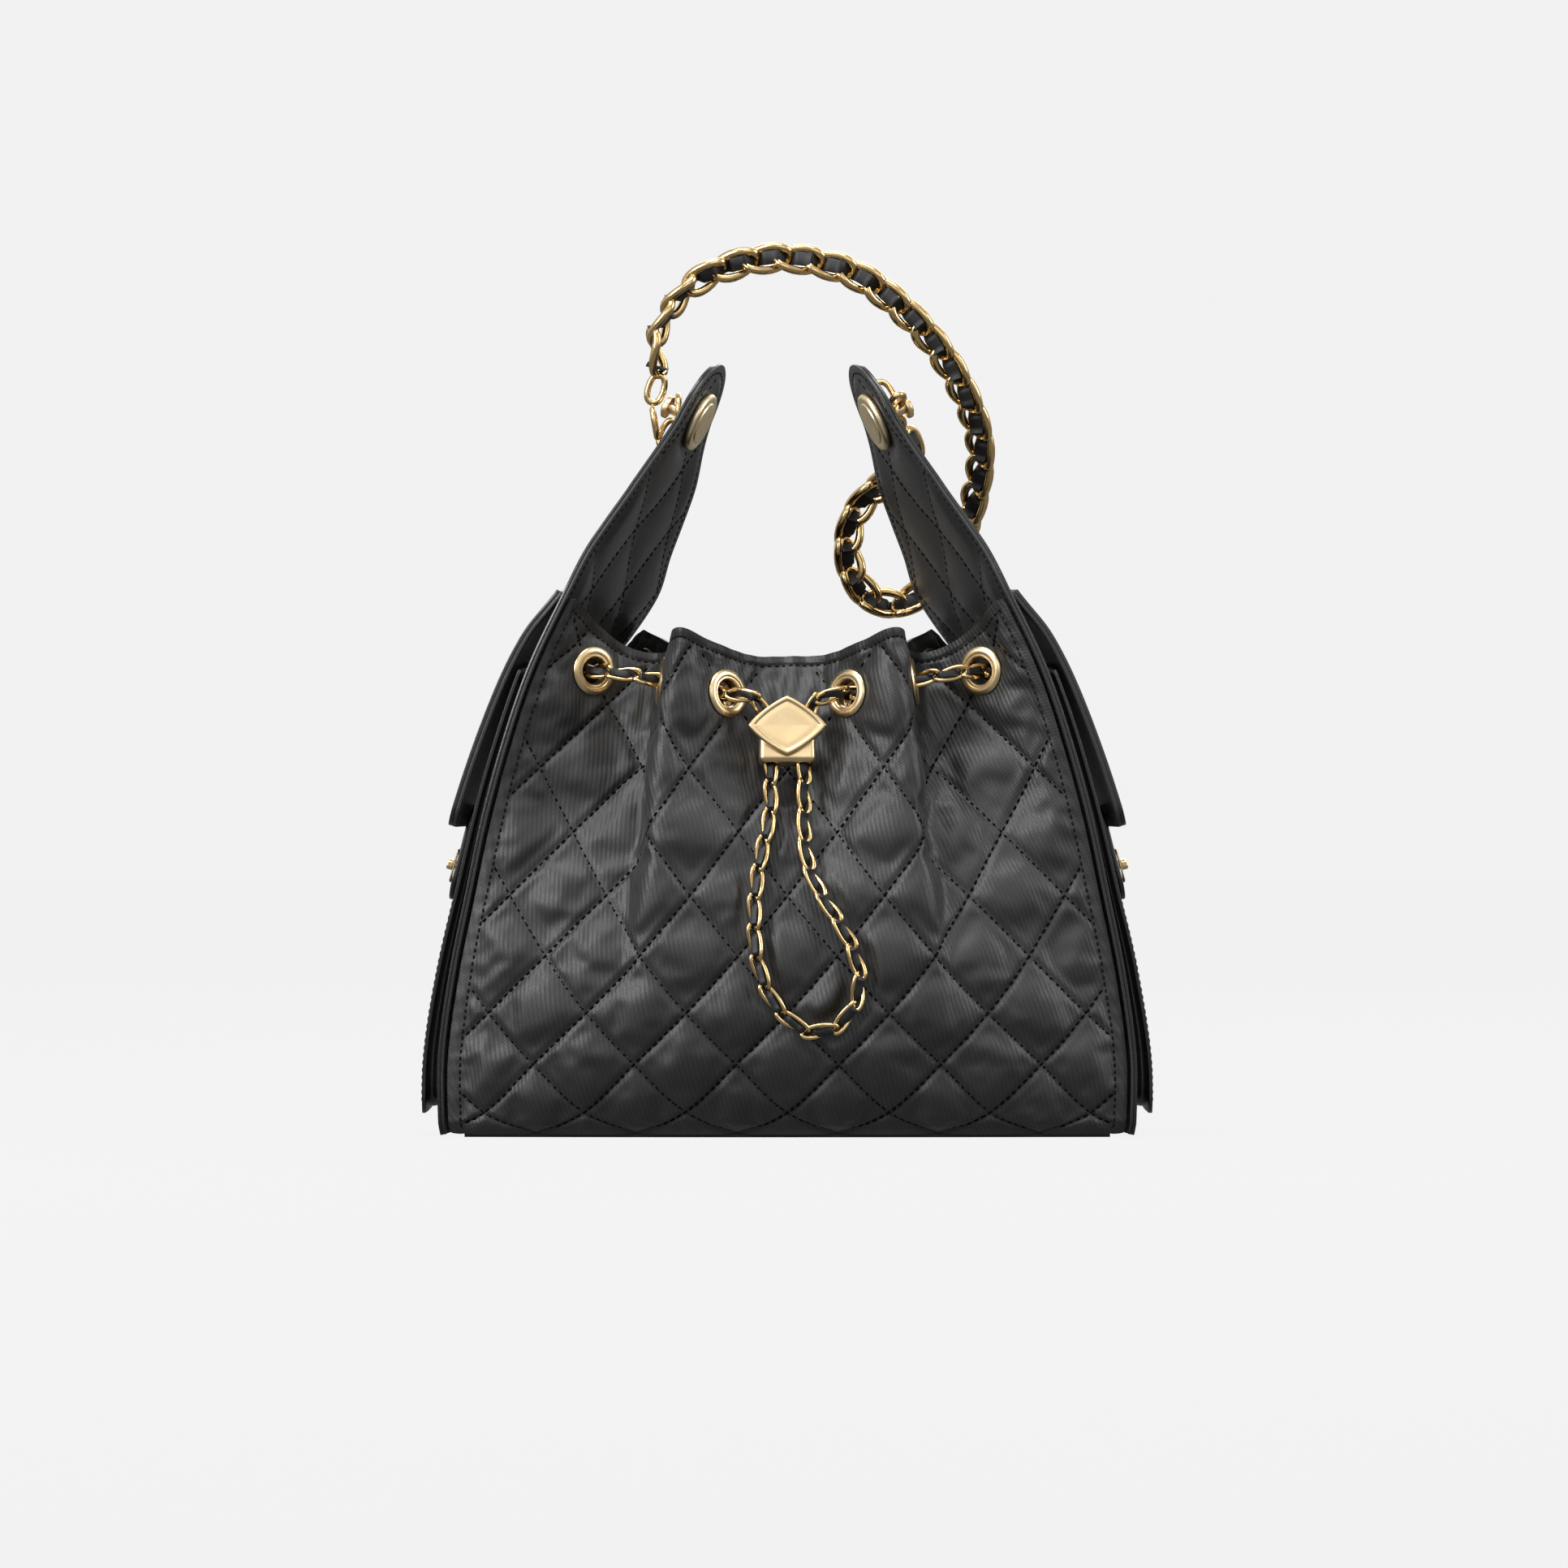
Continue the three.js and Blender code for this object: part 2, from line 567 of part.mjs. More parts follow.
function lockKnob(side) {
  const { at, length, up, out } = lockFrame(side);
  const [long, high, deep] = LOCK.knob;
  const bar = plate(long, high, deep, high / 2 - 0.05, at(KNOB_FOOT), length, up);
  const socket = rod(LOCK.post + GAP, -1, LOCK.socket + GAP, 10, at(KNOB_FOOT), out);
  return toGeometry(toSolid(bar).subtract(toSolid(socket)));
}

// ---- ear fittings and strap -----------------------------------------------------------

function earDisc(side) {
  const { middle, out } = sideFrame(side, EAR_CENTRE);
  const { face, step, rim, radius, thick, shoulder } = EAR_DISC;
  const inner = -SIDE_THICK / 2 - GAP;
  const end = STRAP_RING.out + EAR_PIN.reach;
  return turned([[0, inner - thick], [face, inner - thick], [step, inner - shoulder - 0.4],
    [rim, inner - shoulder], [radius, inner - shoulder + 0.6], [radius, inner],
    [EAR_PIN.radius, inner], [EAR_PIN.radius, end], [0, end]], 20, middle, out);
}

// A stepped button screwed on the shank outside the ear keeps the strap's ring on it.
function earButton(side) {
  const { middle, out } = sideFrame(side, EAR_CENTRE);
  const { radius, lift, wall, cap, socket } = EAR_BUTTON;
  const [bore, foot] = [EAR_PIN.radius + GAP, STRAP_RING.out + lift];
  return turned([[bore, foot], [radius, foot], [radius, foot + wall], [cap, foot + wall + 1],
    [0, foot + wall + 1], [0, foot + socket], [bore, foot + socket], [bore, foot]], 16, middle, out);
}

function earWasher(side) {
  const { middle, out } = sideFrame(side, EAR_CENTRE);
  const { radius, thick } = EAR_WASHER;
  const [bore, foot] = [EAR_PIN.radius + GAP, SIDE_THICK / 2 + GAP];
  return turned([[bore, foot], [radius, foot], [radius, foot + thick], [bore, foot + thick],
    [bore, foot]], 16, middle, out);
}

function strapRing(side) {
  const at = sidePoint(side, EAR_CENTRE, 0, STRAP_RING.out);
  const ring = new THREE.TorusGeometry(STRAP_RING.radius, STRAP_RING.wire, 6, 16);
  ring.rotateY(Math.PI / 2);
  ring.translate(at.x, at.y, at.z);
  return outward(clean(ring));
}

// ---- drawstring -----------------------------------------------------------------------

function drawstringRun() {
  const mirrored = RUN_HALF.map(([x, y, z]) => [-x, y, z]);
  return tube([...mirrored, ...RUN_HALF.slice(0, -1).reverse()], DRAW_RADIUS, 8, 30);
}

// The slider stands on the straight, leaning top of the loop's two strands.
function sliderFrame() {
  const [top, low] = [vec(...STRAND_TOP), vec(...STRAND_LOW)];
  const up = top.clone().sub(low).normalize();
  const middle = vec(0, top.y, top.z).addScaledVector(up, -SLIDER.height / 2 - SLIDER_SET.drop);
  const width = vec(1, 0, 0);
  return { middle, width, up, out: width.clone().cross(up) };
}

function sliderBlock() {
  const { middle, width, up, out } = sliderFrame();
  const { height, depth, corner } = SLIDER;
  const back = middle.clone().addScaledVector(out, -depth / 2 + SLIDER_SET.inset);
  let block = toSolid(plate(SLIDER.width, height, depth, corner, back, width, up));
  const room = DRAW_RADIUS + SLIDER_SET.bore;
  for (const x of [STRAND_TOP[0], -STRAND_TOP[0]]) {
    const channel = rod(room, -height, height, 12, middle.clone().setX(x), up);
    block = block.subtract(toSolid(channel));
  }
  return toGeometry(block);
}

function sliderPlaque() {
  const { middle, width, up, out } = sliderFrame();
  const [long, high, thick] = SLIDER.plaque;
  const bevel = 0.7;
  const corner = 2.4;
  const [x, y] = [long / 2 - bevel, high / 2 - bevel];
  const shape = new THREE.Shape();
  const corners = [[x, 0], [0, y], [-x, 0], [0, -y]];
  corners.forEach(([cx, cy], i) => {
    const [nx, ny] = corners[(i + 1) % 4];
    const [px, py] = corners[(i + 3) % 4];
    const side = Math.hypot(x, y);
    const before = [cx + ((px - cx) * corner) / side, cy + ((py - cy) * corner) / side];
    const after = [cx + ((nx - cx) * corner) / side, cy + ((ny - cy) * corner) / side];
    if (i === 0) shape.moveTo(...before);
    else shape.lineTo(...before);
    shape.quadraticCurveTo(cx, cy, ...after);
  });
  shape.closePath();
  const lozenge = new THREE.ExtrudeGeometry(shape, { depth: thick - 2 * bevel, bevelSize: bevel,
    bevelThickness: bevel, bevelSegments: 1, curveSegments: 3 });
  const at = middle.clone().addScaledVector(up, SLIDER.lift)
    .addScaledVector(out, SLIDER.depth / 2 + SLIDER_SET.inset + GAP + bevel);
  return placed(lozenge, at, width, up, out);
}

// ---- assembly -------------------------------------------------------------------------

const bag = new THREE.Group();

function add(name, geometry, material) {
  const mesh = new THREE.Mesh(geometry, material);
  mesh.name = name;
  bag.add(mesh);
}

add('front_panel', quiltedPanel(-1), TWILL);
add('back_panel', quiltedPanel(1), TWILL);
add('base_panel', flatSheet(BASE.panelInset, 0, BASE.panel), TWILL);
add('base_board', flatSheet(BASE.boardInset, BASE.panel + GAP, BASE.board), BOARD);
add('lining_bag', liningBag(), CLOTH);
for (const grommet of eachGrommet()) add(grommet.name, grommetSolid(grommet), GOLD);

for (const [name, side] of [['left', -1], ['right', 1]]) {
  add(`side_leather_${name}`, sideLeather(side), LEATHER);
  add(`pocket_${name}`, pocket(side), LEATHER);
  add(`flap_${name}`, flap(side), LEATHER);
  add(`flap_tab_${name}`, flapTab(side), LEATHER);
  add(`turn_lock_plate_${name}`, lockPlate(side), GOLD);
  add(`turn_lock_rim_${name}`, lockRim(side), GOLD);
  add(`turn_lock_knob_${name}`, lockKnob(side), GOLD);
  add(`ear_disc_${name}`, earDisc(side), GOLD);
  add(`ear_washer_${name}`, earWasher(side), GOLD);
  add(`ear_button_${name}`, earButton(side), GOLD);
  add(`strap_ring_${name}`, strapRing(side), CHAIN);
}

add('drawstring_run', drawstringRun(), CHAIN);
add('drawstring_loop', tube(LOOP_ROUTE, DRAW_RADIUS, 8, 26), CHAIN);
add('slider_block', sliderBlock(), GOLD);
add('slider_plaque', sliderPlaque(), GOLD);
add('shoulder_chain', tube(STRAP_ROUTE, STRAP_RADIUS, 10, 26), CHAIN);

export default bag;
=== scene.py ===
"""A quilted bucket bag with a chain drawstring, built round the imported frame.

Shapes are worked out in millimetres, in the bag's own frame, and a piece's mesh is in
metres. The left side is -1 and the right side 1; the front is -1 and the back 1.
"""
import math

import bpy
import numpy as np
from mathutils import Matrix, Vector, noise
from mathutils.bvhtree import BVHTree


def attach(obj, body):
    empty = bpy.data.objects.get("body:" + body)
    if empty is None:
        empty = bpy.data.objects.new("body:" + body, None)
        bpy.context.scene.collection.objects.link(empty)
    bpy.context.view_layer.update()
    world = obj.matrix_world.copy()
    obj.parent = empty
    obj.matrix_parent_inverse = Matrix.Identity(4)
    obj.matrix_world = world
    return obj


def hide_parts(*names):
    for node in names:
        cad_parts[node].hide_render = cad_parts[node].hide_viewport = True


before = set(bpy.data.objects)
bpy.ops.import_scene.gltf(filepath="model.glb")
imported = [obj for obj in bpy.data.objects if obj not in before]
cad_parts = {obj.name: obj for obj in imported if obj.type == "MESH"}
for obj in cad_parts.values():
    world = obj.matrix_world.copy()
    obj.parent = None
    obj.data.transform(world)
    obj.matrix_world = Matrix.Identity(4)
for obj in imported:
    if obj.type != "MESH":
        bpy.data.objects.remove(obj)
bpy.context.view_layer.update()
bpy.ops.object.select_all(action="DESELECT")

MM = 0.001
LEFT, RIGHT = -1, 1
FRONT, BACK = -1, 1
SIDES = (("left", LEFT), ("right", RIGHT))
ENDS = (("front", FRONT), ("back", BACK))

# ---- camera ------------------------------------------------------------------------------

bpy.ops.object.camera_add(location=(-0.0012, -4.5, 0.1302), rotation=(math.pi / 2, 0, 0))
camera = bpy.context.object
camera.data.sensor_width = 36
camera.data.lens = 277.5
camera.data.clip_end = 50
bpy.context.scene.camera = camera
bpy.context.scene.view_settings.view_transform = "Standard"
bpy.context.scene.view_settings.look = "None"


# ---- curves and surfaces of the bag, in millimetres --------------------------------------

def track(*knots):
    """A smooth curve of one value through knots (at, value), level past both ends."""
    at, value = np.array(knots, float).T
    slope = np.gradient(value, at)
    slope[1:-1] = (value[2:] - value[:-2]) / (at[2:] - at[:-2])

    def curve(x):
        x = np.clip(x, at[0], at[-1])
        i = np.clip(np.searchsorted(at, x, side="right") - 1, 0, len(at) - 2)
        step = at[i + 1] - at[i]
        s = (x - at[i]) / step
        rise = step * (slope[i] * s * (1 - s) ** 2 - slope[i + 1] * s * s * (1 - s))
        return value[i] + (value[i + 1] - value[i]) * s * s * (3 - 2 * s) + rise

    return curve


def flowing(points, per=24):
    """A centripetal curve through points, as a dense line."""
    p = np.array(points, float)
    p = np.vstack([2 * p[0] - p[1], p, 2 * p[-1] - p[-2]])
    reach = np.sqrt(np.linalg.norm(np.diff(p, axis=0), axis=1))
    t = np.linspace(0, 1, per, endpoint=False)[:, None]
    runs = []
    for i in range(1, len(p) - 2):
        a, b, c = reach[i - 1:i + 2]
        x0, x1, x2, x3 = p[i - 1:i + 3]
        leave = b * ((x1 - x0) / a - (x2 - x0) / (a + b) + (x2 - x1) / b)
        arrive = b * ((x2 - x1) / b - (x3 - x1) / (b + c) + (x3 - x2) / c)
        runs.append(x1 + leave * t + (3 * (x2 - x1) - 2 * leave - arrive) * t ** 2
                    + (2 * (x1 - x2) + leave + arrive) * t ** 3)
    return np.vstack([*runs, p[-2][None]])


def run_length(line):
    return np.concatenate([[0], np.cumsum(np.linalg.norm(np.diff(line, axis=0), axis=1))])


def at_lengths(line, lengths):
    """The points at these lengths along a line."""
    reach = run_length(line)
    return np.column_stack([np.interp(lengths, reach, column) for column in line.T])


def smooth(low, high, x):
    s = np.clip((np.asarray(x, float) - low) / (high - low), 0, 1)
    return s * s * (3 - 2 * s)


PANEL_FOOT = 1
SEAM_INSET = 4.3
EAR_CENTRE, EAR_RADIUS = 266, 22.5
EAR_LEAN = math.atan(0.47)

side_x = track((0, 126.5), (6, 127.5), (30, 127.5), (60, 122.5), (90, 115), (120, 105.8),
               (150, 93.5), (174, 81.2), (200, 66), (216, 59.3), (228, 53), (240, 46.6),
               (258, 38.4), (EAR_CENTRE, 34.6), (286, 25.4))
side_twist = track((0, 0), (30, 0), (60, 1.2), (90, 3), (120, 6.4), (150, 11.2), (174, 16),
                   (200, 20), (240, 20.5), (258, 16), (EAR_CENTRE, 14), (286, 13))
side_width = track((0, 45), (6, 47.5), (30, 48), (120, 47.3), (200, 46.8), (216, 41.5),
                   (228, 36.5), (240, 31.5), (258, 24.8), (EAR_CENTRE, EAR_RADIUS))

MOUTH = {
    FRONT: ((0, 27), (10, 28.5), (20.5, 39.5), (31.5, 53), (37, 57), (41, 52), (41, 36),
            (42.5, 22), (46.5, 17), (64, 29.5)),
    BACK: ((0, 19), (8.5, 20.5), (15, 35), (19.5, 50), (24.5, 57), (30, 52), (31, 34),
           (32, 17), (35.5, 11.5), (42, 26)),
}
BULGE_SHARES = (0, 0.1, 0.22, 0.36, 0.44, 0.47, 0.49, 0.51, 0.54, 0.78)
MOUTH_SEAM = {FRONT: 82, BACK: 50}
MOUTH_EDGE = {
    FRONT: track((0, 177.6), (0.1, 178), (0.25, 183), (0.37, 188), (0.45, 186), (0.6, 180),
                 (0.68, 179), (0.8, 184.5), (1, 199.5)),
    BACK: track((0, 174.5), (0.1, 175), (0.25, 177.5), (0.37, 180), (0.45, 180), (0.6, 180),
                (0.68, 180.5), (0.8, 184), (1, 188)),
}
gather = track((30, 0), (60, 0.06), (90, 0.2), (120, 0.45), (150, 0.75), (172, 0.93), (188, 1))
bulge = track((0, 4), (6, 9.5), (15, 14.5), (40, 21), (70, 23.5), (110, 24), (200, 20))

PLAN_STEP = 0.5
PLAN_TOP = 201
PLAN_SHARES = np.linspace(0, 1, 300)


def plan_half(end, z):
    """Half of a panel in plan at a height, from its middle to its seam, evenly spaced."""
    twist = math.radians(side_twist(z))
    seam_x = side_x(z) - end * side_width(z) * math.sin(twist) - SEAM_INSET
    seam_y = side_width(z) * math.cos(twist)
    widening = ((seam_x + SEAM_INSET) / MOUTH_SEAM[end]) ** 0.7
    g = gather(z)
    half = []
    for (x, y), share in zip(MOUTH[end], BULGE_SHARES):
        plain = seam_y + bulge(z) * (1 - share ** 2)
        half.append(((1 - g) * share * seam_x + g * x * widening, end * ((1 - g) * plain + g * y)))
    half.append((seam_x, end * seam_y))
    other = [(-x, y) for x, y in half[:0:-1]]
    line = flowing(other + half, 16)[len(half[1:]) * 16:]
    return at_lengths(line, PLAN_SHARES * run_length(line)[-1])


PLANS = {
    end: np.array([plan_half(end, z) for z in np.arange(0, PLAN_TOP, PLAN_STEP)])
    for end in (FRONT, BACK)
}


def panel_point(end, share, z):
    """The outer face of a quilted panel before it is padded: share runs from -1 to 1."""
    share, z = np.broadcast_arrays(np.asarray(share, float), np.asarray(z, float))
    plans = PLANS[end]
    row = np.clip(z / PLAN_STEP, 0, len(plans) - 1.001)
    column = np.clip(np.abs(share), 0, 1) * (len(PLAN_SHARES) - 1.001)
    i, j = row.astype(int), column.astype(int)
    s, t = (row - i)[..., None], (column - j)[..., None]
    low = plans[i, j] * (1 - t) + plans[i, j + 1] * t
    high = plans[i + 1, j] * (1 - t) + plans[i + 1, j + 1] * t
    flat = low * (1 - s) + high * s
    return np.stack([np.sign(share) * flat[..., 0], flat[..., 1], z], axis=-1)


def unit(v):
    return v / np.linalg.norm(v, axis=-1, keepdims=True)


def panel_out(end, share, z):
    d, h = 0.012, 1.5
    across = panel_point(end, share + d, z) - panel_point(end, share - d, z)
    up = panel_point(end, share, z + h) - panel_point(end, share, z - h)
    return unit(np.cross(across, up)) * -end


def side_half(z):
    above = (np.asarray(z, float) - EAR_CENTRE) / math.cos(EAR_LEAN)
    cap = np.sqrt(np.maximum(EAR_RADIUS ** 2 - above ** 2, 1))
    return np.where(above <= 0, side_width(z), cap)


def side_axes(side, z):
    """The way across the side leather to the back, up it, and out of the bag."""
    z = np.asarray(z, float)
    twist = np.radians(side_twist(z))
    run = (side_x(z + 1) - side_x(z - 1)) / 2
    across = np.stack([-side * np.sin(twist), np.cos(twist), 0 * z], axis=-1)
    up = unit(np.stack([side * run, 0 * z, 1 + 0 * z], axis=-1))
    return across, up, unit(np.cross(across, up)) * side


def side_point(side, z, across, off):
    """A point off the middle surface of a side leather."""
    z, across, off = np.broadcast_arrays(*(np.asarray(a, float) for a in (z, across, off)))
    way, _, out = side_axes(side, z)
    middle = np.stack([side * side_x(z), 0 * z, z], axis=-1)
    return middle + way * across[..., None] + out * off[..., None]


# ---- routes of the chains, in metres -----------------------------------------------------

RUN_HALF = (
    (0.0237, -0.0408, 0.1631), (0.033, -0.0364, 0.1648), (0.045, -0.0368, 0.1678),
    (0.059, -0.0386, 0.1706), (0.0724, -0.0312, 0.172), (0.0786, -0.018, 0.1719),
    (0.0758, 0.002, 0.1716), (0.0665, 0.0175, 0.1724), (0.053, 0.0268, 0.1722),
    (0.046, 0.0368, 0.1702), (0.0382, 0.0403, 0.1678), (0.0286, 0.0366, 0.1648),
    (0.0194, 0.0372, 0.1633), (0.01, 0.0412, 0.1636), (0, 0.0424, 0.1632))
RUN_ROUTE = [(-x, y, z) for x, y, z in RUN_HALF] + list(RUN_HALF[-2::-1])
LOOP_ROUTE = (
    (-0.0221, -0.0426, 0.1635), (-0.0145, -0.0472, 0.1632), (-0.0082, -0.0467, 0.1586),
    (-0.006, -0.0471, 0.149), (-0.006, -0.0516, 0.135), (-0.006, -0.0566, 0.119),
    (-0.0086, -0.0608, 0.108), (-0.011, -0.0648, 0.095), (-0.012, -0.0686, 0.081),
    (-0.0106, -0.0713, 0.064), (-0.0034, -0.0723, 0.048), (0.01, -0.0718, 0.0388),
    (0.0215, -0.0716, 0.044), (0.0266, -0.0712, 0.057), (0.0228, -0.07, 0.072),
    (0.015, -0.068, 0.085), (0.0092, -0.0652, 0.095), (0.0062, -0.061, 0.1075),
    (0.006, -0.0566, 0.119), (0.006, -0.0516, 0.135), (0.006, -0.0471, 0.149),
    (0.0082, -0.0467, 0.1586), (0.0145, -0.0472, 0.1632), (0.0221, -0.0426, 0.1635))
STRAP_ROUTE = (
    (-0.047, 0.0014, 0.283), (-0.05, 0.0014, 0.291), (-0.0465, 0.0014, 0.303),
    (-0.036, 0.0014, 0.3165), (-0.021, 0.0014, 0.3234), (-0.003, 0.0014, 0.3264),
    (0.0135, 0.0014, 0.324), (0.027, 0.0014, 0.3195), (0.045, 0.0015, 0.3055),
    (0.057, 0.005, 0.292), (0.067, 0.012, 0.275), (0.0728, 0.023, 0.257), (0.071, 0.034, 0.239),
    (0.065, 0.046, 0.221), (0.054, 0.0525, 0.204), (0.041, 0.054, 0.197), (0.031, 0.0515, 0.1995),
    (0.023, 0.046, 0.2115), (0.0228, 0.0435, 0.226), (0.0275, 0.041, 0.236),
    (0.0345, 0.0375, 0.242), (0.042, 0.031, 0.247), (0.046, 0.021, 0.254), (0.0455, 0.0125, 0.262))


# ---- making pieces -----------------------------------------------------------------------

def edit(*steps):
    """Runs operators in edit mode with everything selected before the first."""
    bpy.ops.object.mode_set(mode="EDIT")
    bpy.ops.mesh.select_all(action="SELECT")
    for step in steps:
        step()
    bpy.ops.object.mode_set(mode="OBJECT")


def alone(piece):
    bpy.ops.object.select_all(action="DESELECT")
    piece.select_set(True)
    bpy.context.view_layer.objects.active = piece


def modify(piece, kind, **values):
    """Adds a modifier and applies it."""
    alone(piece)
    modifier = piece.modifiers.new(kind, kind)
    for key, value in values.items():
        setattr(modifier, key, value)
    bpy.ops.object.modifier_apply(modifier=modifier.name)
    return piece


def merge_and_face_out():
    bpy.ops.mesh.remove_doubles(threshold=2e-6)
    bpy.ops.mesh.normals_make_consistent(inside=False)


def shade(piece, degrees=40):
    alone(piece)
    bpy.ops.object.shade_smooth_by_angle(angle=math.radians(degrees))
    return piece


def choose_faces(piece, chosen):
    """Selects these faces of a piece and nothing else."""
    alone(piece)
    bpy.context.tool_settings.mesh_select_mode = (False, False, True)
    piece.data.vertices.foreach_set("select", np.zeros(len(piece.data.vertices), bool))
    piece.data.edges.foreach_set("select", np.zeros(len(piece.data.edges), bool))
    piece.data.polygons.foreach_set("select", np.asarray(chosen, bool))


def coords(piece):
    flat = np.empty(len(piece.data.vertices) * 3)
    piece.data.vertices.foreach_get("co", flat)
    return flat.reshape(-1, 3)


def set_coords(piece, places):
    piece.data.vertices.foreach_set("co", np.asarray(places, float).ravel())
    piece.data.update()


def vertex_normals(piece):
    flat = np.empty(len(piece.data.vertices) * 3)
    piece.data.vertices.foreach_get("normal", flat)
    return flat.reshape(-1, 3)


def grid(name, columns, rows, place, flat=None):
    """A grid of cloth or leather, laid in place by place(i, j) on arrays, in millimetres.
    flat(i, j) is where the same points lay on the cutting table; it becomes the UV map."""
    bpy.ops.mesh.primitive_grid_add(x_subdivisions=columns, y_subdivisions=rows, size=2)
    piece = bpy.context.object
    piece.name = piece.data.name = name
    start = coords(piece)
    i = np.rint((start[:, 0] + 1) / 2 * columns)
    j = np.rint((start[:, 1] + 1) / 2 * rows)
    if flat is not None:
        corner = np.empty(len(piece.data.loops), int)
        piece.data.loops.foreach_get("vertex_index", corner)
        u, v = flat(i, j)
        piece.data.uv_layers[0].data.foreach_set(
            "uv", np.column_stack([u, v])[corner].ravel() * MM)
    set_coords(piece, place(i, j) * MM)
    return piece


def face_towards(piece, out):
    """Turns an open sheet's faces over if most of them look away from out(places)."""
    looks = vertex_normals(piece)
    if np.mean(np.sum(looks * out(coords(piece) / MM), axis=1)) < 0:
        alone(piece)
        edit(bpy.ops.mesh.flip_normals)


def turned(name, profile, steps=48):
    """A closed profile of (radius, height) in millimetres, spun round the upright axis."""
    bpy.ops.mesh.primitive_circle_add(vertices=len(profile), radius=1)
    piece = bpy.context.object
    piece.name = piece.data.name = name
    set_coords(piece, [(radius * MM, 0, height * MM) for radius, height in profile])
    edit(lambda: bpy.ops.mesh.spin(steps=steps, angle=2 * math.pi, center=(0, 0, 0),
                                   axis=(0, 0, 1)),
         lambda: bpy.ops.mesh.select_all(action="SELECT"),
         merge_and_face_out)
    return shade(piece, 35)


def basis(at, x, y, z):
    """The matrix that lays a piece made at the origin at a place, in millimetres."""
    matrix = Matrix((x, y, z)).transposed().to_4x4()
    matrix.translation = Vector(at) * MM
    return matrix


def axes_from(out, hint=(0, 0, 1)):
    """Three axes with the last along out and the second as near hint as can be."""
    out = Vector(out).normalized()
    x = Vector(hint).cross(out).normalized()
    return x, out.cross(x), out


def copied(master, name, matrix):
    piece = master.copy()
    piece.data = master.data.copy()
    piece.name = piece.data.name = name
    bpy.context.collection.objects.link(piece)
    piece.data.transform(matrix)
    return piece


def scattered(name, master, matrices):
    """Many copies of one small shape, as one piece."""
    places = coords(master)
    faces = [list(face.vertices) for face in master.data.polygons]
    smooth_faces = [face.use_smooth for face in master.data.polygons]
    uppers = np.array([np.array(m)[:3] for m in matrices])
    laid = np.einsum("nij,vj->nvi", uppers[:, :, :3], places) + uppers[:, None, :, 3]
    mesh = bpy.data.meshes.new(name)
    count = len(places)
    mesh.from_pydata(laid.reshape(-1, 3).tolist(), [],
                     [[v + k * count for v in face] for k in range(len(matrices))
                      for face in faces])
    mesh.polygons.foreach_set("use_smooth", smooth_faces * len(matrices))
    piece = bpy.data.objects.new(name, mesh)
    bpy.context.collection.objects.link(piece)
    return piece


def discard(piece):
    bpy.data.objects.remove(piece)


def keep(piece, body, slot, material, *nodes):
    """Gives a finished piece its body, its finish, and the frame nodes that it stands for."""
    piece.data.materials.clear()
    piece.data.materials.append(material)
    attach(piece, body)
    if nodes:
        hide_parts(*nodes)
    return piece


# ---- finishes ----------------------------------------------------------------------------

class Nodes:
    """A node tree with short ways to add and join nodes."""

    def __init__(self, tree):
        self.tree = tree

    def add(self, kind, inputs=(), **values):
        node = self.tree.nodes.new(kind)
        for key, value in values.items():
            setattr(node, key, value)
        for key, value in dict(inputs).items():
            if isinstance(value, bpy.types.NodeSocket):
                self.tree.links.new(value, node.inputs[key])
            else:
                node.inputs[key].default_value = value
        return node

    def math(self, operation, a, b=0.0, clamp=False):
        node = self.add("ShaderNodeMath", {0: a, 1: b}, operation=operation, use_clamp=clamp)
        return node.outputs[0]

    def spread(self, value, low, high, to_low, to_high):
        node = self.add("ShaderNodeMapRange", {"Value": value, "From Min": low, "From Max": high,
                                               "To Min": to_low, "To Max": to_high})
        return node.outputs["Result"]

    def blend(self, factor, a, b):
        node = self.add("ShaderNodeMix", {0: factor, 6: a, 7: b}, data_type="RGBA")
        return node.outputs[2]


def group(name, inputs, outputs, build):
    """A node group: inputs are (name, socket kind, value), outputs (name, socket kind)."""
    tree = bpy.data.node_groups.new(name, "ShaderNodeTree")
    for label, kind, value in inputs:
        socket = tree.interface.new_socket(label, in_out="INPUT", socket_type=kind)
        socket.default_value = value
    for label, kind in outputs:
        tree.interface.new_socket(label, in_out="OUTPUT", socket_type=kind)
    nodes = Nodes(tree)
    start = nodes.add("NodeGroupInput")
    results = build(nodes, start.outputs)
    nodes.add("NodeGroupOutput", results)
    return tree


def mottle_group():
    """Slow change over a surface, for colour and gloss, and fine grain for bump."""
    def build(nodes, given):
        place = nodes.add("ShaderNodeTexCoord").outputs["Object"]
        broad = nodes.add("ShaderNodeTexNoise", {"Vector": place, "Scale": given["Broad scale"],
                                                 "Detail": 3.0})
        fine = nodes.add("ShaderNodeTexNoise", {"Vector": place, "Scale": given["Fine scale"],
                                                "Detail": 4.0, "Roughness": 0.6})
        return {"Broad": broad.outputs["Fac"], "Fine": fine.outputs["Fac"]}

    return group("mottle",
                 [("Broad scale", "NodeSocketFloat", 25.0),
                  ("Fine scale", "NodeSocketFloat", 900.0)],
                 [("Broad", "NodeSocketFloat"), ("Fine", "NodeSocketFloat")], build)


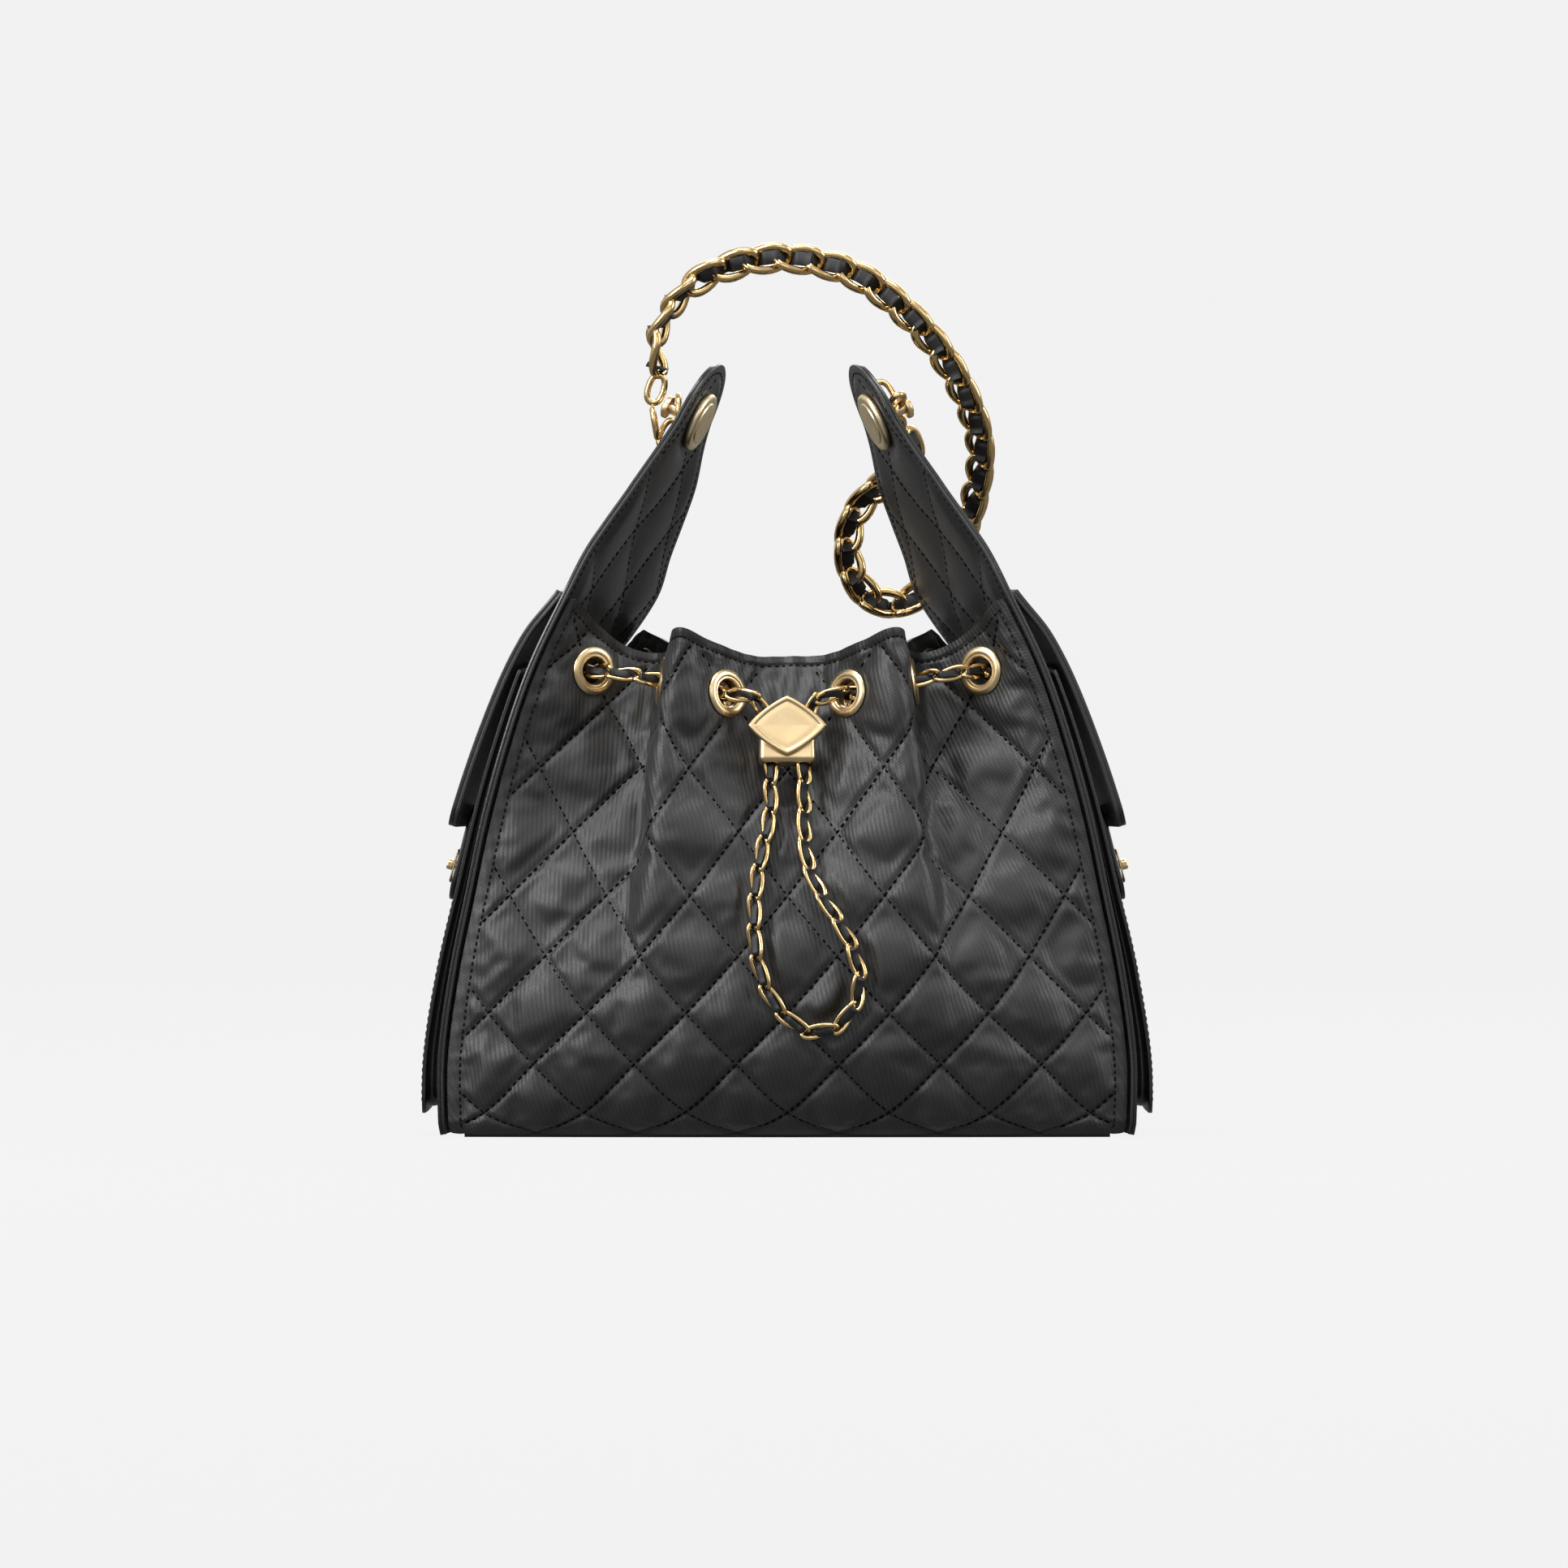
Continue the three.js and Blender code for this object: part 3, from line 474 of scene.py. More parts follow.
def pebble_group():
    """The pores and creases of finished leather, as a height."""
    def build(nodes, given):
        place = nodes.add("ShaderNodeTexCoord").outputs["Object"]
        wander = nodes.add("ShaderNodeTexNoise", {"Vector": place, "Scale": 260.0, "Detail": 2.0})
        shift = nodes.add("ShaderNodeVectorMath", {0: wander.outputs["Color"], 1: (0.0009,) * 3},
                          operation="MULTIPLY")
        moved = nodes.add("ShaderNodeVectorMath", {0: place, 1: shift.outputs[0]}, operation="ADD")
        cells = nodes.add("ShaderNodeTexVoronoi", {"Vector": moved.outputs[0],
                                                   "Scale": given["Cell scale"]},
                          feature="DISTANCE_TO_EDGE")
        rounded = nodes.spread(cells.outputs["Distance"], 0.0, 0.28, 0.0, 1.0)
        pores = nodes.add("ShaderNodeTexNoise", {"Vector": place, "Scale": 2600.0, "Detail": 2.0})
        height = nodes.math("ADD", rounded, nodes.math("MULTIPLY", pores.outputs["Fac"], 0.35))
        return {"Height": height}

    return group("pebble", [("Cell scale", "NodeSocketFloat", 1300.0)],
                 [("Height", "NodeSocketFloat")], build)


def edge_group():
    """A mask of sharp outer edges, for the painted highlight along them."""
    def build(nodes, given):
        point = nodes.add("ShaderNodeNewGeometry").outputs["Pointiness"]
        sharp = nodes.spread(point, given["From"], given["To"], 0.0, 1.0)
        return {"Edge": sharp}

    return group("edge_highlight_mask", [("From", "NodeSocketFloat", 0.57), ("To", "NodeSocketFloat", 0.7)],
                 [("Edge", "NodeSocketFloat")], build)


MOTTLE, PEBBLE, EDGE = mottle_group(), pebble_group(), edge_group()


def finish_of(name):
    material = bpy.data.materials.new(name)
    material.use_nodes = True
    nodes = Nodes(material.node_tree)
    return material, nodes, material.node_tree.nodes["Principled BSDF"]


def use(nodes, tree, **values):
    node = nodes.add("ShaderNodeGroup", node_tree=tree)
    for key, value in values.items():
        node.inputs[key.replace("_", " ")].default_value = value
    return node.outputs


def wire(nodes, value, socket):
    nodes.tree.links.new(value, socket)


def leather(name, dark, light, rough, coat, cells, depth, sheen=0.0):
    material, nodes, shader = finish_of(name)
    change = use(nodes, MOTTLE, Broad_scale=38.0, Fine_scale=700.0)
    pebble = use(nodes, PEBBLE, Cell_scale=cells)
    edge = use(nodes, EDGE)
    colour = nodes.blend(change["Broad"], (*dark, 1), (*light, 1))
    # Painted highlight: sharp edges are lightened, standing in for the light lines that leather
    # edges catch.
    edge_highlit = nodes.blend(nodes.math("MULTIPLY", edge["Edge"], 0.5), colour,
                       tuple(2.6 * c for c in light) + (1,))
    wire(nodes, edge_highlit, shader.inputs["Base Color"])
    gloss = nodes.spread(change["Fine"], 0.3, 0.7, rough - 0.05, rough + 0.07)
    wire(nodes, gloss, shader.inputs["Roughness"])
    shader.inputs["Coat Weight"].default_value = coat
    shader.inputs["Coat Roughness"].default_value = 0.18
    shader.inputs["Sheen Weight"].default_value = sheen
    bump = nodes.add("ShaderNodeBump", {"Height": pebble["Height"], "Strength": 0.35,
                                        "Distance": depth})
    wire(nodes, bump.outputs["Normal"], shader.inputs["Normal"])
    return material


def twill():
    """Fine steep ribs that follow the cloth, with painted shade in their valleys, and a broken
    sheen.
    """
    material, nodes, shader = finish_of("black_twill")
    flat = nodes.add("ShaderNodeUVMap", uv_map="UVMap").outputs["UV"]
    leant = nodes.add("ShaderNodeMapping", {"Vector": flat, "Rotation": (0, 0, math.radians(-12))})
    ribs = nodes.add("ShaderNodeTexWave", {"Vector": leant.outputs[0], "Scale": 175.0,
                                           "Distortion": 0.5, "Detail": 1.0, "Detail Scale": 3.0},
                     wave_type="BANDS", bands_direction="X")
    crossing = nodes.add("ShaderNodeMapping",
                         {"Vector": flat, "Rotation": (0, 0, math.radians(55))})
    threads = nodes.add("ShaderNodeTexWave", {"Vector": crossing.outputs[0], "Scale": 330.0,
                                              "Distortion": 1.0}, wave_type="BANDS",
                        bands_direction="X")
    change = use(nodes, MOTTLE, Broad_scale=55.0, Fine_scale=1500.0)
    height = nodes.math("ADD", ribs.outputs["Fac"],
                        nodes.math("MULTIPLY", threads.outputs["Fac"], 0.3))
    height = nodes.math("ADD", height, nodes.math("MULTIPLY", change["Fine"], 0.35))
    # Painted shade: the ribs' valleys are coloured darker than their crests.
    rib_valley_shade = nodes.blend(ribs.outputs["Fac"], (0.009, 0.009, 0.0094, 1), (0.018, 0.018, 0.0184, 1))
    tone = nodes.blend(nodes.spread(change["Broad"], 0.35, 0.65, 0.0, 0.35), rib_valley_shade,
                       (0.024, 0.024, 0.024, 1))
    wire(nodes, tone, shader.inputs["Base Color"])
    wire(nodes, nodes.spread(change["Fine"], 0.3, 0.7, 0.44, 0.56), shader.inputs["Roughness"])
    shader.inputs["Sheen Weight"].default_value = 0.12
    shader.inputs["Sheen Roughness"].default_value = 0.4
    shader.inputs["Specular IOR Level"].default_value = 0.62
    bump = nodes.add("ShaderNodeBump", {"Height": height, "Strength": 0.4, "Distance": 0.00016})
    wire(nodes, bump.outputs["Normal"], shader.inputs["Normal"])
    return material


def metal(name, tone, deep, rough, brushed):
    material, nodes, shader = finish_of(name)
    change = use(nodes, MOTTLE, Broad_scale=60.0, Fine_scale=1800.0)
    edge = use(nodes, EDGE)
    colour = nodes.blend(nodes.spread(change["Broad"], 0.3, 0.7, 0.0, 1.0), (*tone, 1), (*deep, 1))
    # Painted highlight: sharp edges are blended to a paler, brighter gold, as a glint.
    colour = nodes.blend(nodes.math("MULTIPLY", edge["Edge"], 0.35), colour, (1.0, 0.87, 0.62, 1))
    wire(nodes, colour, shader.inputs["Base Color"])
    shader.inputs["Metallic"].default_value = 1.0
    wire(nodes, nodes.spread(change["Fine"], 0.25, 0.75, rough - 0.04, rough + 0.06),
         shader.inputs["Roughness"])
    bump = nodes.add("ShaderNodeBump", {"Height": change["Fine"], "Strength": brushed,
                                        "Distance": 0.000006})
    wire(nodes, bump.outputs["Normal"], shader.inputs["Normal"])
    return material


def thread(name, tone):
    material, nodes, shader = finish_of(name)
    change = use(nodes, MOTTLE, Broad_scale=500.0, Fine_scale=4000.0)
    colour = nodes.blend(change["Fine"], tuple(0.6 * c for c in tone) + (1,), (*tone, 1))
    wire(nodes, colour, shader.inputs["Base Color"])
    shader.inputs["Roughness"].default_value = 0.95
    shader.inputs["Specular IOR Level"].default_value = 0.1
    return material


def cloth(name, dark, light, scale, rough):
    """A plain close weave."""
    material, nodes, shader = finish_of(name)
    place = nodes.add("ShaderNodeTexCoord").outputs["Object"]
    warp = nodes.add("ShaderNodeTexWave", {"Vector": place, "Scale": scale, "Distortion": 0.8},
                     wave_type="BANDS", bands_direction="X")
    weft = nodes.add("ShaderNodeTexWave", {"Vector": place, "Scale": scale, "Distortion": 0.8},
                     wave_type="BANDS", bands_direction="Z")
    change = use(nodes, MOTTLE, Broad_scale=40.0, Fine_scale=1200.0)
    weave = nodes.math("ADD", warp.outputs["Fac"], weft.outputs["Fac"])
    wire(nodes, nodes.blend(change["Broad"], (*dark, 1), (*light, 1)), shader.inputs["Base Color"])
    wire(nodes, nodes.spread(change["Fine"], 0.3, 0.7, rough - 0.05, rough + 0.05),
         shader.inputs["Roughness"])
    shader.inputs["Sheen Weight"].default_value = 0.2
    bump = nodes.add("ShaderNodeBump", {"Height": weave, "Strength": 0.4, "Distance": 0.0001})
    wire(nodes, bump.outputs["Normal"], shader.inputs["Normal"])
    return material


TWILL = twill()
SIDE_LEATHER = leather("glossy_side_leather", (0.006, 0.006, 0.0065), (0.011, 0.011, 0.0115), 0.3,
                       0.35, 1500.0, 0.00006)
FACING_LEATHER = leather("quilted_facing_leather", (0.014, 0.014, 0.0145), (0.02, 0.02, 0.0205),
                         0.42,
                         0.1, 1400.0, 0.00008, sheen=0.05)
RIBBON_LEATHER = leather("ribbon_leather", (0.005, 0.005, 0.0055), (0.009, 0.009, 0.0095), 0.52,
                         0.0, 2200.0, 0.00005)
LINING = cloth("black_lining", (0.006, 0.006, 0.007), (0.012, 0.012, 0.013), 900.0, 0.7)
BOARD = cloth("grey_board", (0.05, 0.045, 0.04), (0.075, 0.068, 0.06), 500.0, 0.85)
PALE_GOLD = metal("satin_pale_gold", (0.86, 0.67, 0.39), (0.78, 0.59, 0.33), 0.3, 0.12)
CHAIN_GOLD = metal("polished_chain_gold", (0.80, 0.57, 0.27), (0.70, 0.48, 0.21), 0.17, 0.12)
DISC_GOLD = metal("matt_disc_gold", (0.98, 0.83, 0.54), (0.94, 0.77, 0.48), 0.36, 0.12)
# Near black and darker than the cloth: partly the thread's own colour, partly painted shade of the
# stitch holes.
BLACK_THREAD_AND_HOLE_SHADE = thread("black_thread_and_hole_shade", (0.0025, 0.0025, 0.0025))
SEAM_THREAD = thread("seam_thread", (0.012, 0.012, 0.012))

# ---- chains ------------------------------------------------------------------------------

def link_master(name, length, width, wire, twist):
    """One curb link: a long ring, twisted so that its neighbours lie flat through it."""
    bpy.ops.mesh.primitive_torus_add(major_radius=1, minor_radius=0.2, major_segments=28,
                                     minor_segments=8)
    piece = bpy.context.object
    piece.name = piece.data.name = name
    start = coords(piece)
    ring = np.hypot(start[:, 0], start[:, 1])
    turn = np.arctan2(start[:, 1], start[:, 0])

    def centre(t):
        c, s = np.cos(t), np.sin(t)
        reach = width / 2 * np.sign(s) * np.abs(s) ** 0.85
        lean = math.radians(twist) * np.sign(c) * np.abs(c) ** 0.8
        return np.column_stack([length / 2 * np.sign(c) * np.abs(c) ** 0.85, reach * np.cos(lean),
                                reach * np.sin(lean)])

    middle = centre(turn)
    along = unit(centre(turn + 0.02) - centre(turn - 0.02))
    outward = unit(middle - along * np.sum(middle * along, axis=1, keepdims=True))
    upward = np.cross(outward, along)
    reach = (ring - 1)[:, None] / 0.2 * wire / 2
    lift = start[:, 2][:, None] / 0.2 * wire / 2
    set_coords(piece, (middle + outward * reach + upward * lift) * MM)
    edit(lambda: bpy.ops.mesh.normals_make_consistent(inside=False))
    return shade(piece, 80)


LINK_YAW = math.radians(9)
LINK_ROLL = math.radians(24)
LINK_TWIST = 42


def chain_frames(line, faces):
    """Axes along a chain: the way it runs, the way across its flat side, the way it faces.
    faces are (share of the length, way the flat side faces)."""
    reach = run_length(line) / run_length(line)[-1]
    along = unit(np.gradient(line, axis=0))
    shares = np.array([share for share, _ in faces], float)
    ways = np.array([way for _, way in faces], float)
    face = np.column_stack([np.interp(reach, shares, ways[:, k]) for k in range(3)])
    face = unit(face - along * np.sum(face * along, axis=1, keepdims=True))
    return along, np.cross(face, along), face


def woven_chain(name, route, links, width, wire, faces, overlap):
    """A curb chain and the leather ribbon woven through it, along a route in metres."""
    line = flowing(np.array(route) / MM, 40)
    reach = run_length(line)
    total = reach[-1]
    along, across, face = chain_frames(line, faces)
    pitch = (total - overlap) / links
    length = pitch + overlap
    master = link_master("link", length, width - wire, wire, LINK_TWIST)

    def on_route(values, at):
        return np.array([np.interp(at, reach, column) for column in values.T])

    matrices = []
    for k in range(links):
        middle = overlap / 2 + pitch * (k + 0.5)
        start = on_route(line, max(middle - length / 2, 0))
        end = on_route(line, min(middle + length / 2, total))
        way = Vector(end - start).normalized()
        out = Vector(on_route(face, middle))
        out = (out - way * out.dot(way)).normalized()
        at = (start + end) / 2 * 0.5 + on_route(line, middle) * 0.5
        lie = basis(at, way, out.cross(way), out)
        matrices.append(lie @ Matrix.Rotation(LINK_YAW, 4, "Z")
                        @ Matrix.Rotation(LINK_ROLL, 4, "X"))
    chain = scattered(name, master, matrices)
    discard(master)

    # The ribbon goes over one link's end, dives under its neighbour's, and rises again.
    half = pitch / 2
    gap = (length - pitch) / 2
    rise = wire * 0.95
    knots = np.array([(-half - gap, rise), (-half + gap, -rise), (-half * 0.3, 0.1 * wire),
                      (half * 0.5, 0.45 * wire), (half - gap, rise), (half + gap, -rise)])
    steps = links * 14
    at = np.linspace(0.5, total - 0.5, steps + 1)
    phase = (at - overlap / 2) % pitch - half
    lift = np.interp(phase, knots[:, 0], knots[:, 1])
    strip = width - 2 * wire
    thick = wire * 0.5
    centre = on_route(line, at).T
    side, up = on_route(across, at).T, on_route(face, at).T
    side, up = (side * math.cos(LINK_ROLL) + up * math.sin(LINK_ROLL),
                up * math.cos(LINK_ROLL) - side * math.sin(LINK_ROLL))
    profile = ((-0.5, -0.3), (-0.42, -0.5), (0.42, -0.5), (0.5, -0.3), (0.5, 0.3), (0.42, 0.5),
               (-0.42, 0.5), (-0.5, 0.3))
    rings = [centre + side * (u * strip) + up * (lift + v * thick)[:, None] for u, v in profile]
    points = np.stack(rings, axis=1).reshape(-1, 3) * MM
    count = len(profile)
    faces_of = [[i * count + j, i * count + (j + 1) % count, (i + 1) * count + (j + 1) % count,
                 (i + 1) * count + j] for i in range(steps) for j in range(count)]
    faces_of += [list(range(count))[::-1], [steps * count + j for j in range(count)]]
    mesh = bpy.data.meshes.new(name + "_ribbon")
    mesh.from_pydata(points.tolist(), [], faces_of)
    ribbon = bpy.data.objects.new(name + "_ribbon", mesh)
    bpy.context.collection.objects.link(ribbon)
    alone(ribbon)
    edit(lambda: bpy.ops.mesh.normals_make_consistent(inside=False))
    shade(ribbon, 50)
    return chain, ribbon, line * MM


def drawstring(name, route, links, faces, body, node, exit_from):
    chain, ribbon, line = woven_chain(name, route, links, 5.9, 1.65, faces, 2.4)
    keep(chain, body, "gold_chain", CHAIN_GOLD, node)
    keep(ribbon, body, "black_leather", RIBBON_LEATHER)
    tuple(exit_from)
    float(run_length(line)[-1])


FORWARD = (0, -1, 0.1)
drawstring("drawstring_run_chain", RUN_ROUTE, 34,
           ((0, FORWARD), (0.12, (-0.3, -1, 0)), (0.2, (-1, 0.2, 0)), (0.34, (-0.5, 1, 0)),
            (0.5, (0, 1, 0.1)), (0.66, (0.5, 1, 0)), (0.8, (1, 0.2, 0)), (0.88, (0.3, -1, 0)),
            (1, FORWARD)),
           "bag", "drawstring_run", RUN_ROUTE[0])
drawstring("drawstring_loop_chain", LOOP_ROUTE, 27,
           ((0, (0, -1, 0)), (0.2, (0, -0.95, 0.3)), (0.5, (0, -1, 0)),
            (0.8, (0, -0.95, 0.3)), (1, (0, -1, 0))),
           "pull_loop", "drawstring_loop", LOOP_ROUTE[0])

strap_chain, strap_ribbon, strap_line = woven_chain(
    "shoulder_strap_chain", STRAP_ROUTE, 30, 11.8, 3.3,
    ((0, (0.85, -0.5, 0)), (0.1, (0.8, -0.6, 0.2)), (0.25, (0, -0.8, 0.5)), (0.4, (0, -1, 0)),
     (0.6, (-0.1, -1, 0)), (0.8, (0, -1, -0.2)), (1, (0, -1, 0))), 5.0)
keep(strap_chain, "strap", "gold_chain", CHAIN_GOLD, "shoulder_chain")
keep(strap_ribbon, "strap", "black_leather", RIBBON_LEATHER)
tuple(STRAP_ROUTE[0])
float(run_length(strap_line)[-1])


# ---- sewing ------------------------------------------------------------------------------

def stitch_master():
    """One short lock stitch, lying along X."""
    bpy.ops.mesh.primitive_uv_sphere_add(segments=6, ring_count=4, radius=1)
    piece = bpy.context.object
    places = coords(piece)
    set_coords(piece, np.column_stack([places[:, 2], places[:, 0] * 0.46, places[:, 1] * 0.3]) * MM)
    edit(lambda: bpy.ops.mesh.normals_make_consistent(inside=False))
    bpy.ops.object.shade_smooth()
    return piece


STITCH = stitch_master()
QUILTING_PITCH, LEATHER_PITCH, SEAM_PITCH = 2.9, 2.7, 2.5


def sewn_row(surface, line, outs, pitch, sink=0.0):
    """Matrices of stitches along a line in millimetres, laid down on a surface."""
    reach = run_length(line)
    count = max(int(reach[-1] / pitch), 1)
    at = (np.arange(count) + 0.5) * reach[-1] / count
    middle = at_lengths(line, at)
    before, after = at_lengths(line, at - 0.4 * pitch), at_lengths(line, at + 0.4 * pitch)
    out = np.column_stack([np.interp(at, reach, column) for column in outs.T])
    matrices = []
    for m, a, b, o in zip(middle, before, after, unit(out)):
        start = Vector((m + o * 9) * MM)
        hit, normal, _, _ = surface.ray_cast(start, -Vector(o), 18 * MM)
        if hit is None:
            continue
        if normal.dot(Vector(o)) < 0:
            normal = -normal
        way = Vector(b - a)
        way = (way - normal * way.dot(normal)).normalized()
        matrix = Matrix((way * 0.36 * pitch, normal.cross(way), normal)).transposed().to_4x4()
        matrix.translation = hit - normal * sink * MM
        matrices.append(matrix)
    return matrices


def surface_of(*pieces):
    places, faces, base = [], [], 0
    for piece in pieces:
        places += [tuple(v.co) for v in piece.data.vertices]
        faces += [[base + v for v in face.vertices] for face in piece.data.polygons]
        base = len(places)
    return BVHTree.FromPolygons(places, faces)


# ---- grommets' places --------------------------------------------------------------------

GROMMET_PLACES = {"inner": (0.185, 163.5), "middle": (0.53, 168), "outer": (0.83, 172)}


def grommet_frames(end):
    """(name, share, height, middle, way it faces) of a panel's six grommets."""
    for side_name, side in SIDES:
        for place, (share, z) in GROMMET_PLACES.items():
            yield (f"{place}_{side_name}", side * share, z, panel_point(end, side * share, z),
                   panel_out(end, side * share, z))


# ---- quilted front and back --------------------------------------------------------------

HALF_COLUMNS = 53  # columns of the grid from the middle of a panel to its seam
PER_DIAMOND = 16  # columns, and rows, across one diamond of the quilting
HALF_WIDTH = 132
DIAMOND_TALL = 46
FIRST_ROW = -0.5  # in diamonds, from the lowest row of crossings
LOW_ROWS, HEM_ROWS = 69, 7
HEM_STITCHES = 3.4  # below the mouth edge
QUILTING_SINK = -0.2  # the thread stands proud of its groove
LOOP_ROOM = 3.6  # from the middle of the pull loop's chain back to the cloth
diamond_height = track((-0.5, 1), (0, 9), (0.5, 27), (1, 46), (1.5, 67), (2, 89.4), (2.5, 112.8),
                       (3, 136.5), (3.5, 160), (4, 183), (4.5, 207))
KNOWN_DIAMONDS = np.linspace(-0.5, 4.5, 600)


def diamonds_at(z):
    return np.interp(z, diamond_height(KNOWN_DIAMONDS), KNOWN_DIAMONDS)


def panel_place(end, i, j):
    """Share and height of a point of the cloth's grid: level rows, then rows up to the hem."""
    share = i / HALF_COLUMNS - 1
    level = diamond_height(FIRST_ROW + np.minimum(j, LOW_ROWS) / PER_DIAMOND)
    up = np.clip(j - LOW_ROWS, 0, HEM_ROWS) / HEM_ROWS
    return share, level + up * (MOUTH_EDGE[end](np.abs(share)) - level)


def quilt_puff(end, share, z):
    """0 on the quilting's lines and at the panel's edges, 1 in the middle of a diamond."""
    across = share * HALF_COLUMNS / PER_DIAMOND
    tall = diamonds_at(z)
    one, other = np.mod(across + tall, 1), np.mod(across - tall, 1)
    filled = np.maximum(np.sin(np.pi * one) * np.sin(np.pi * other), 0) ** 0.55
    edge = np.minimum.reduce([(1 - np.abs(share)) * HALF_WIDTH - 3.5,
                              MOUTH_EDGE[end](np.abs(share)) - z - 4.5, z - PANEL_FOOT + 3])
    return filled * smooth(0, 9, edge)


def line_distance(share, z):
    """How far a point is from the nearest line of quilting, in millimetres."""
    across = share * HALF_COLUMNS / PER_DIAMOND
    tall = diamonds_at(z)
    scale = 1 / math.hypot(1 / (HALF_WIDTH / HALF_COLUMNS * PER_DIAMOND), 1 / DIAMOND_TALL)
    near = [np.abs(np.mod(across + way * tall + 0.5, 1) - 0.5) * scale for way in (-1, 1)]
    return np.minimum(*near)


def ruffle(end, share, z):
    """Small upright gathers by the mouth, and soft creases that run down from the folds."""
    across = share * HALF_WIDTH
    middle = np.exp(-(across / 21) ** 2) * smooth(118, 172, z)
    ripple = 1.0 * np.sin(across * 2 * math.pi / 7.3 + 0.8 * np.sin(z / 11)) * middle
    crease = np.array([
        noise.noise(Vector((a * 0.05, h * 0.011, 3.1 + end)))
        + 0.5 * noise.noise(Vector((a * 0.12 + 0.02 * h, h * 0.02, 8.7 + end)))
        for a, h in zip(across, z)])
    sag = np.array([noise.noise(Vector((a * 0.022, h * 0.03, 5.3 + end))) for a,
                    h in zip(across, z)])
    return ripple + crease * (0.7 + 1.4 * smooth(70, 150, z)) + sag * 1.1


def seat_grommets(places, flat, end):
    """Presses the cloth flat under each grommet."""
    share, z = flat
    for _, at_share, at_z, middle, out in grommet_frames(end):
        near = np.hypot((share - at_share) * HALF_WIDTH, z - at_z) < 24
        offset = places - middle
        height = offset @ out
        radius = np.linalg.norm(offset - height[:, None] * out, axis=1)
        weight = (1 - smooth(8.8, 13, radius)) * near
        places = places + (weight * (0.15 - height))[:, None] * out
    return places


def cut_grommet_holes(piece, end):
    """Takes out the cloth inside each grommet's barrel."""
    middles = np.array([middle for *_, middle, _ in grommet_frames(end)])
    centres = np.array([face.center for face in piece.data.polygons]) / MM
    apart = np.linalg.norm(middles[None] - centres[:, None], axis=2)
    choose_faces(piece, np.min(apart, axis=1) < 6.6)
    bpy.ops.object.mode_set(mode="EDIT")
    bpy.ops.mesh.delete(type="FACE")
    bpy.ops.object.mode_set(mode="OBJECT")


def slider_hollow(share, z):
    """The slider's way down the front, where its block presses the padding in."""
    return (2.0 * np.exp(-(share * HALF_WIDTH / 15) ** 2) * smooth(104, 120, z)
            * (1 - smooth(146, 158, z)))


def clear_of_loop(places):
    """Presses the padding in behind the pull loop, as far as the chain is thick."""
    line = flowing(np.array(LOOP_ROUTE) / MM, 40)
    line = line[line[:, 2] < 152]
    near = places[:, 1] < -20
    gaps = np.hypot(places[near, 0][:, None] - line[:, 0], places[near, 2][:, None] - line[:, 2])
    closest = np.argmin(gaps, axis=1)
    gap = gaps[np.arange(len(gaps)), closest]
    behind = line[closest, 1] + LOOP_ROOM
    weight = 1 - smooth(4.0, 9.0, gap)
    moved = places.copy()
    moved[near, 1] += weight * np.maximum(behind - places[near, 1], 0)
    return moved


PUFF = {"start": 1.3, "full": 2.9, "most": 4.2}


def swell(piece, held):
    """Blows the padding up between the stitched lines, as a short cloth simulation."""
    start = coords(piece).copy()
    pins = piece.vertex_groups.new(name="stitched")
    for weight in np.unique(np.round(held, 1)):
        chosen = np.nonzero(np.round(held, 1) == weight)[0]
        if weight > 0:
            pins.add(chosen.tolist(), float(weight), "REPLACE")
    modifier = piece.modifiers.new("padding", "CLOTH")
    settings = modifier.settings
    settings.quality = 6
    settings.mass = 0.3
    settings.tension_stiffness = settings.compression_stiffness = 12
    settings.shear_stiffness = 5
    settings.bending_stiffness = 0.4
    settings.air_damping = 2
    settings.shrink_min = settings.shrink_max = -0.035
    settings.use_pressure = True
    settings.uniform_pressure_force = 7
    settings.vertex_group_mass = "stitched"
    settings.effector_weights.gravity = 0
    scene = bpy.context.scene
    modifier.point_cache.frame_start = 1
    modifier.point_cache.frame_end = 16
    for step in range(1, 17):
        scene.frame_set(step)
    alone(piece)
    bpy.ops.object.modifier_apply(modifier=modifier.name)
    scene.frame_set(1)
    moved = coords(piece) - start
    far = np.linalg.norm(moved, axis=1, keepdims=True)
    most = PUFF["most"] * MM
    set_coords(piece, start + moved * np.minimum(1, most / np.maximum(far, 1e-9)))


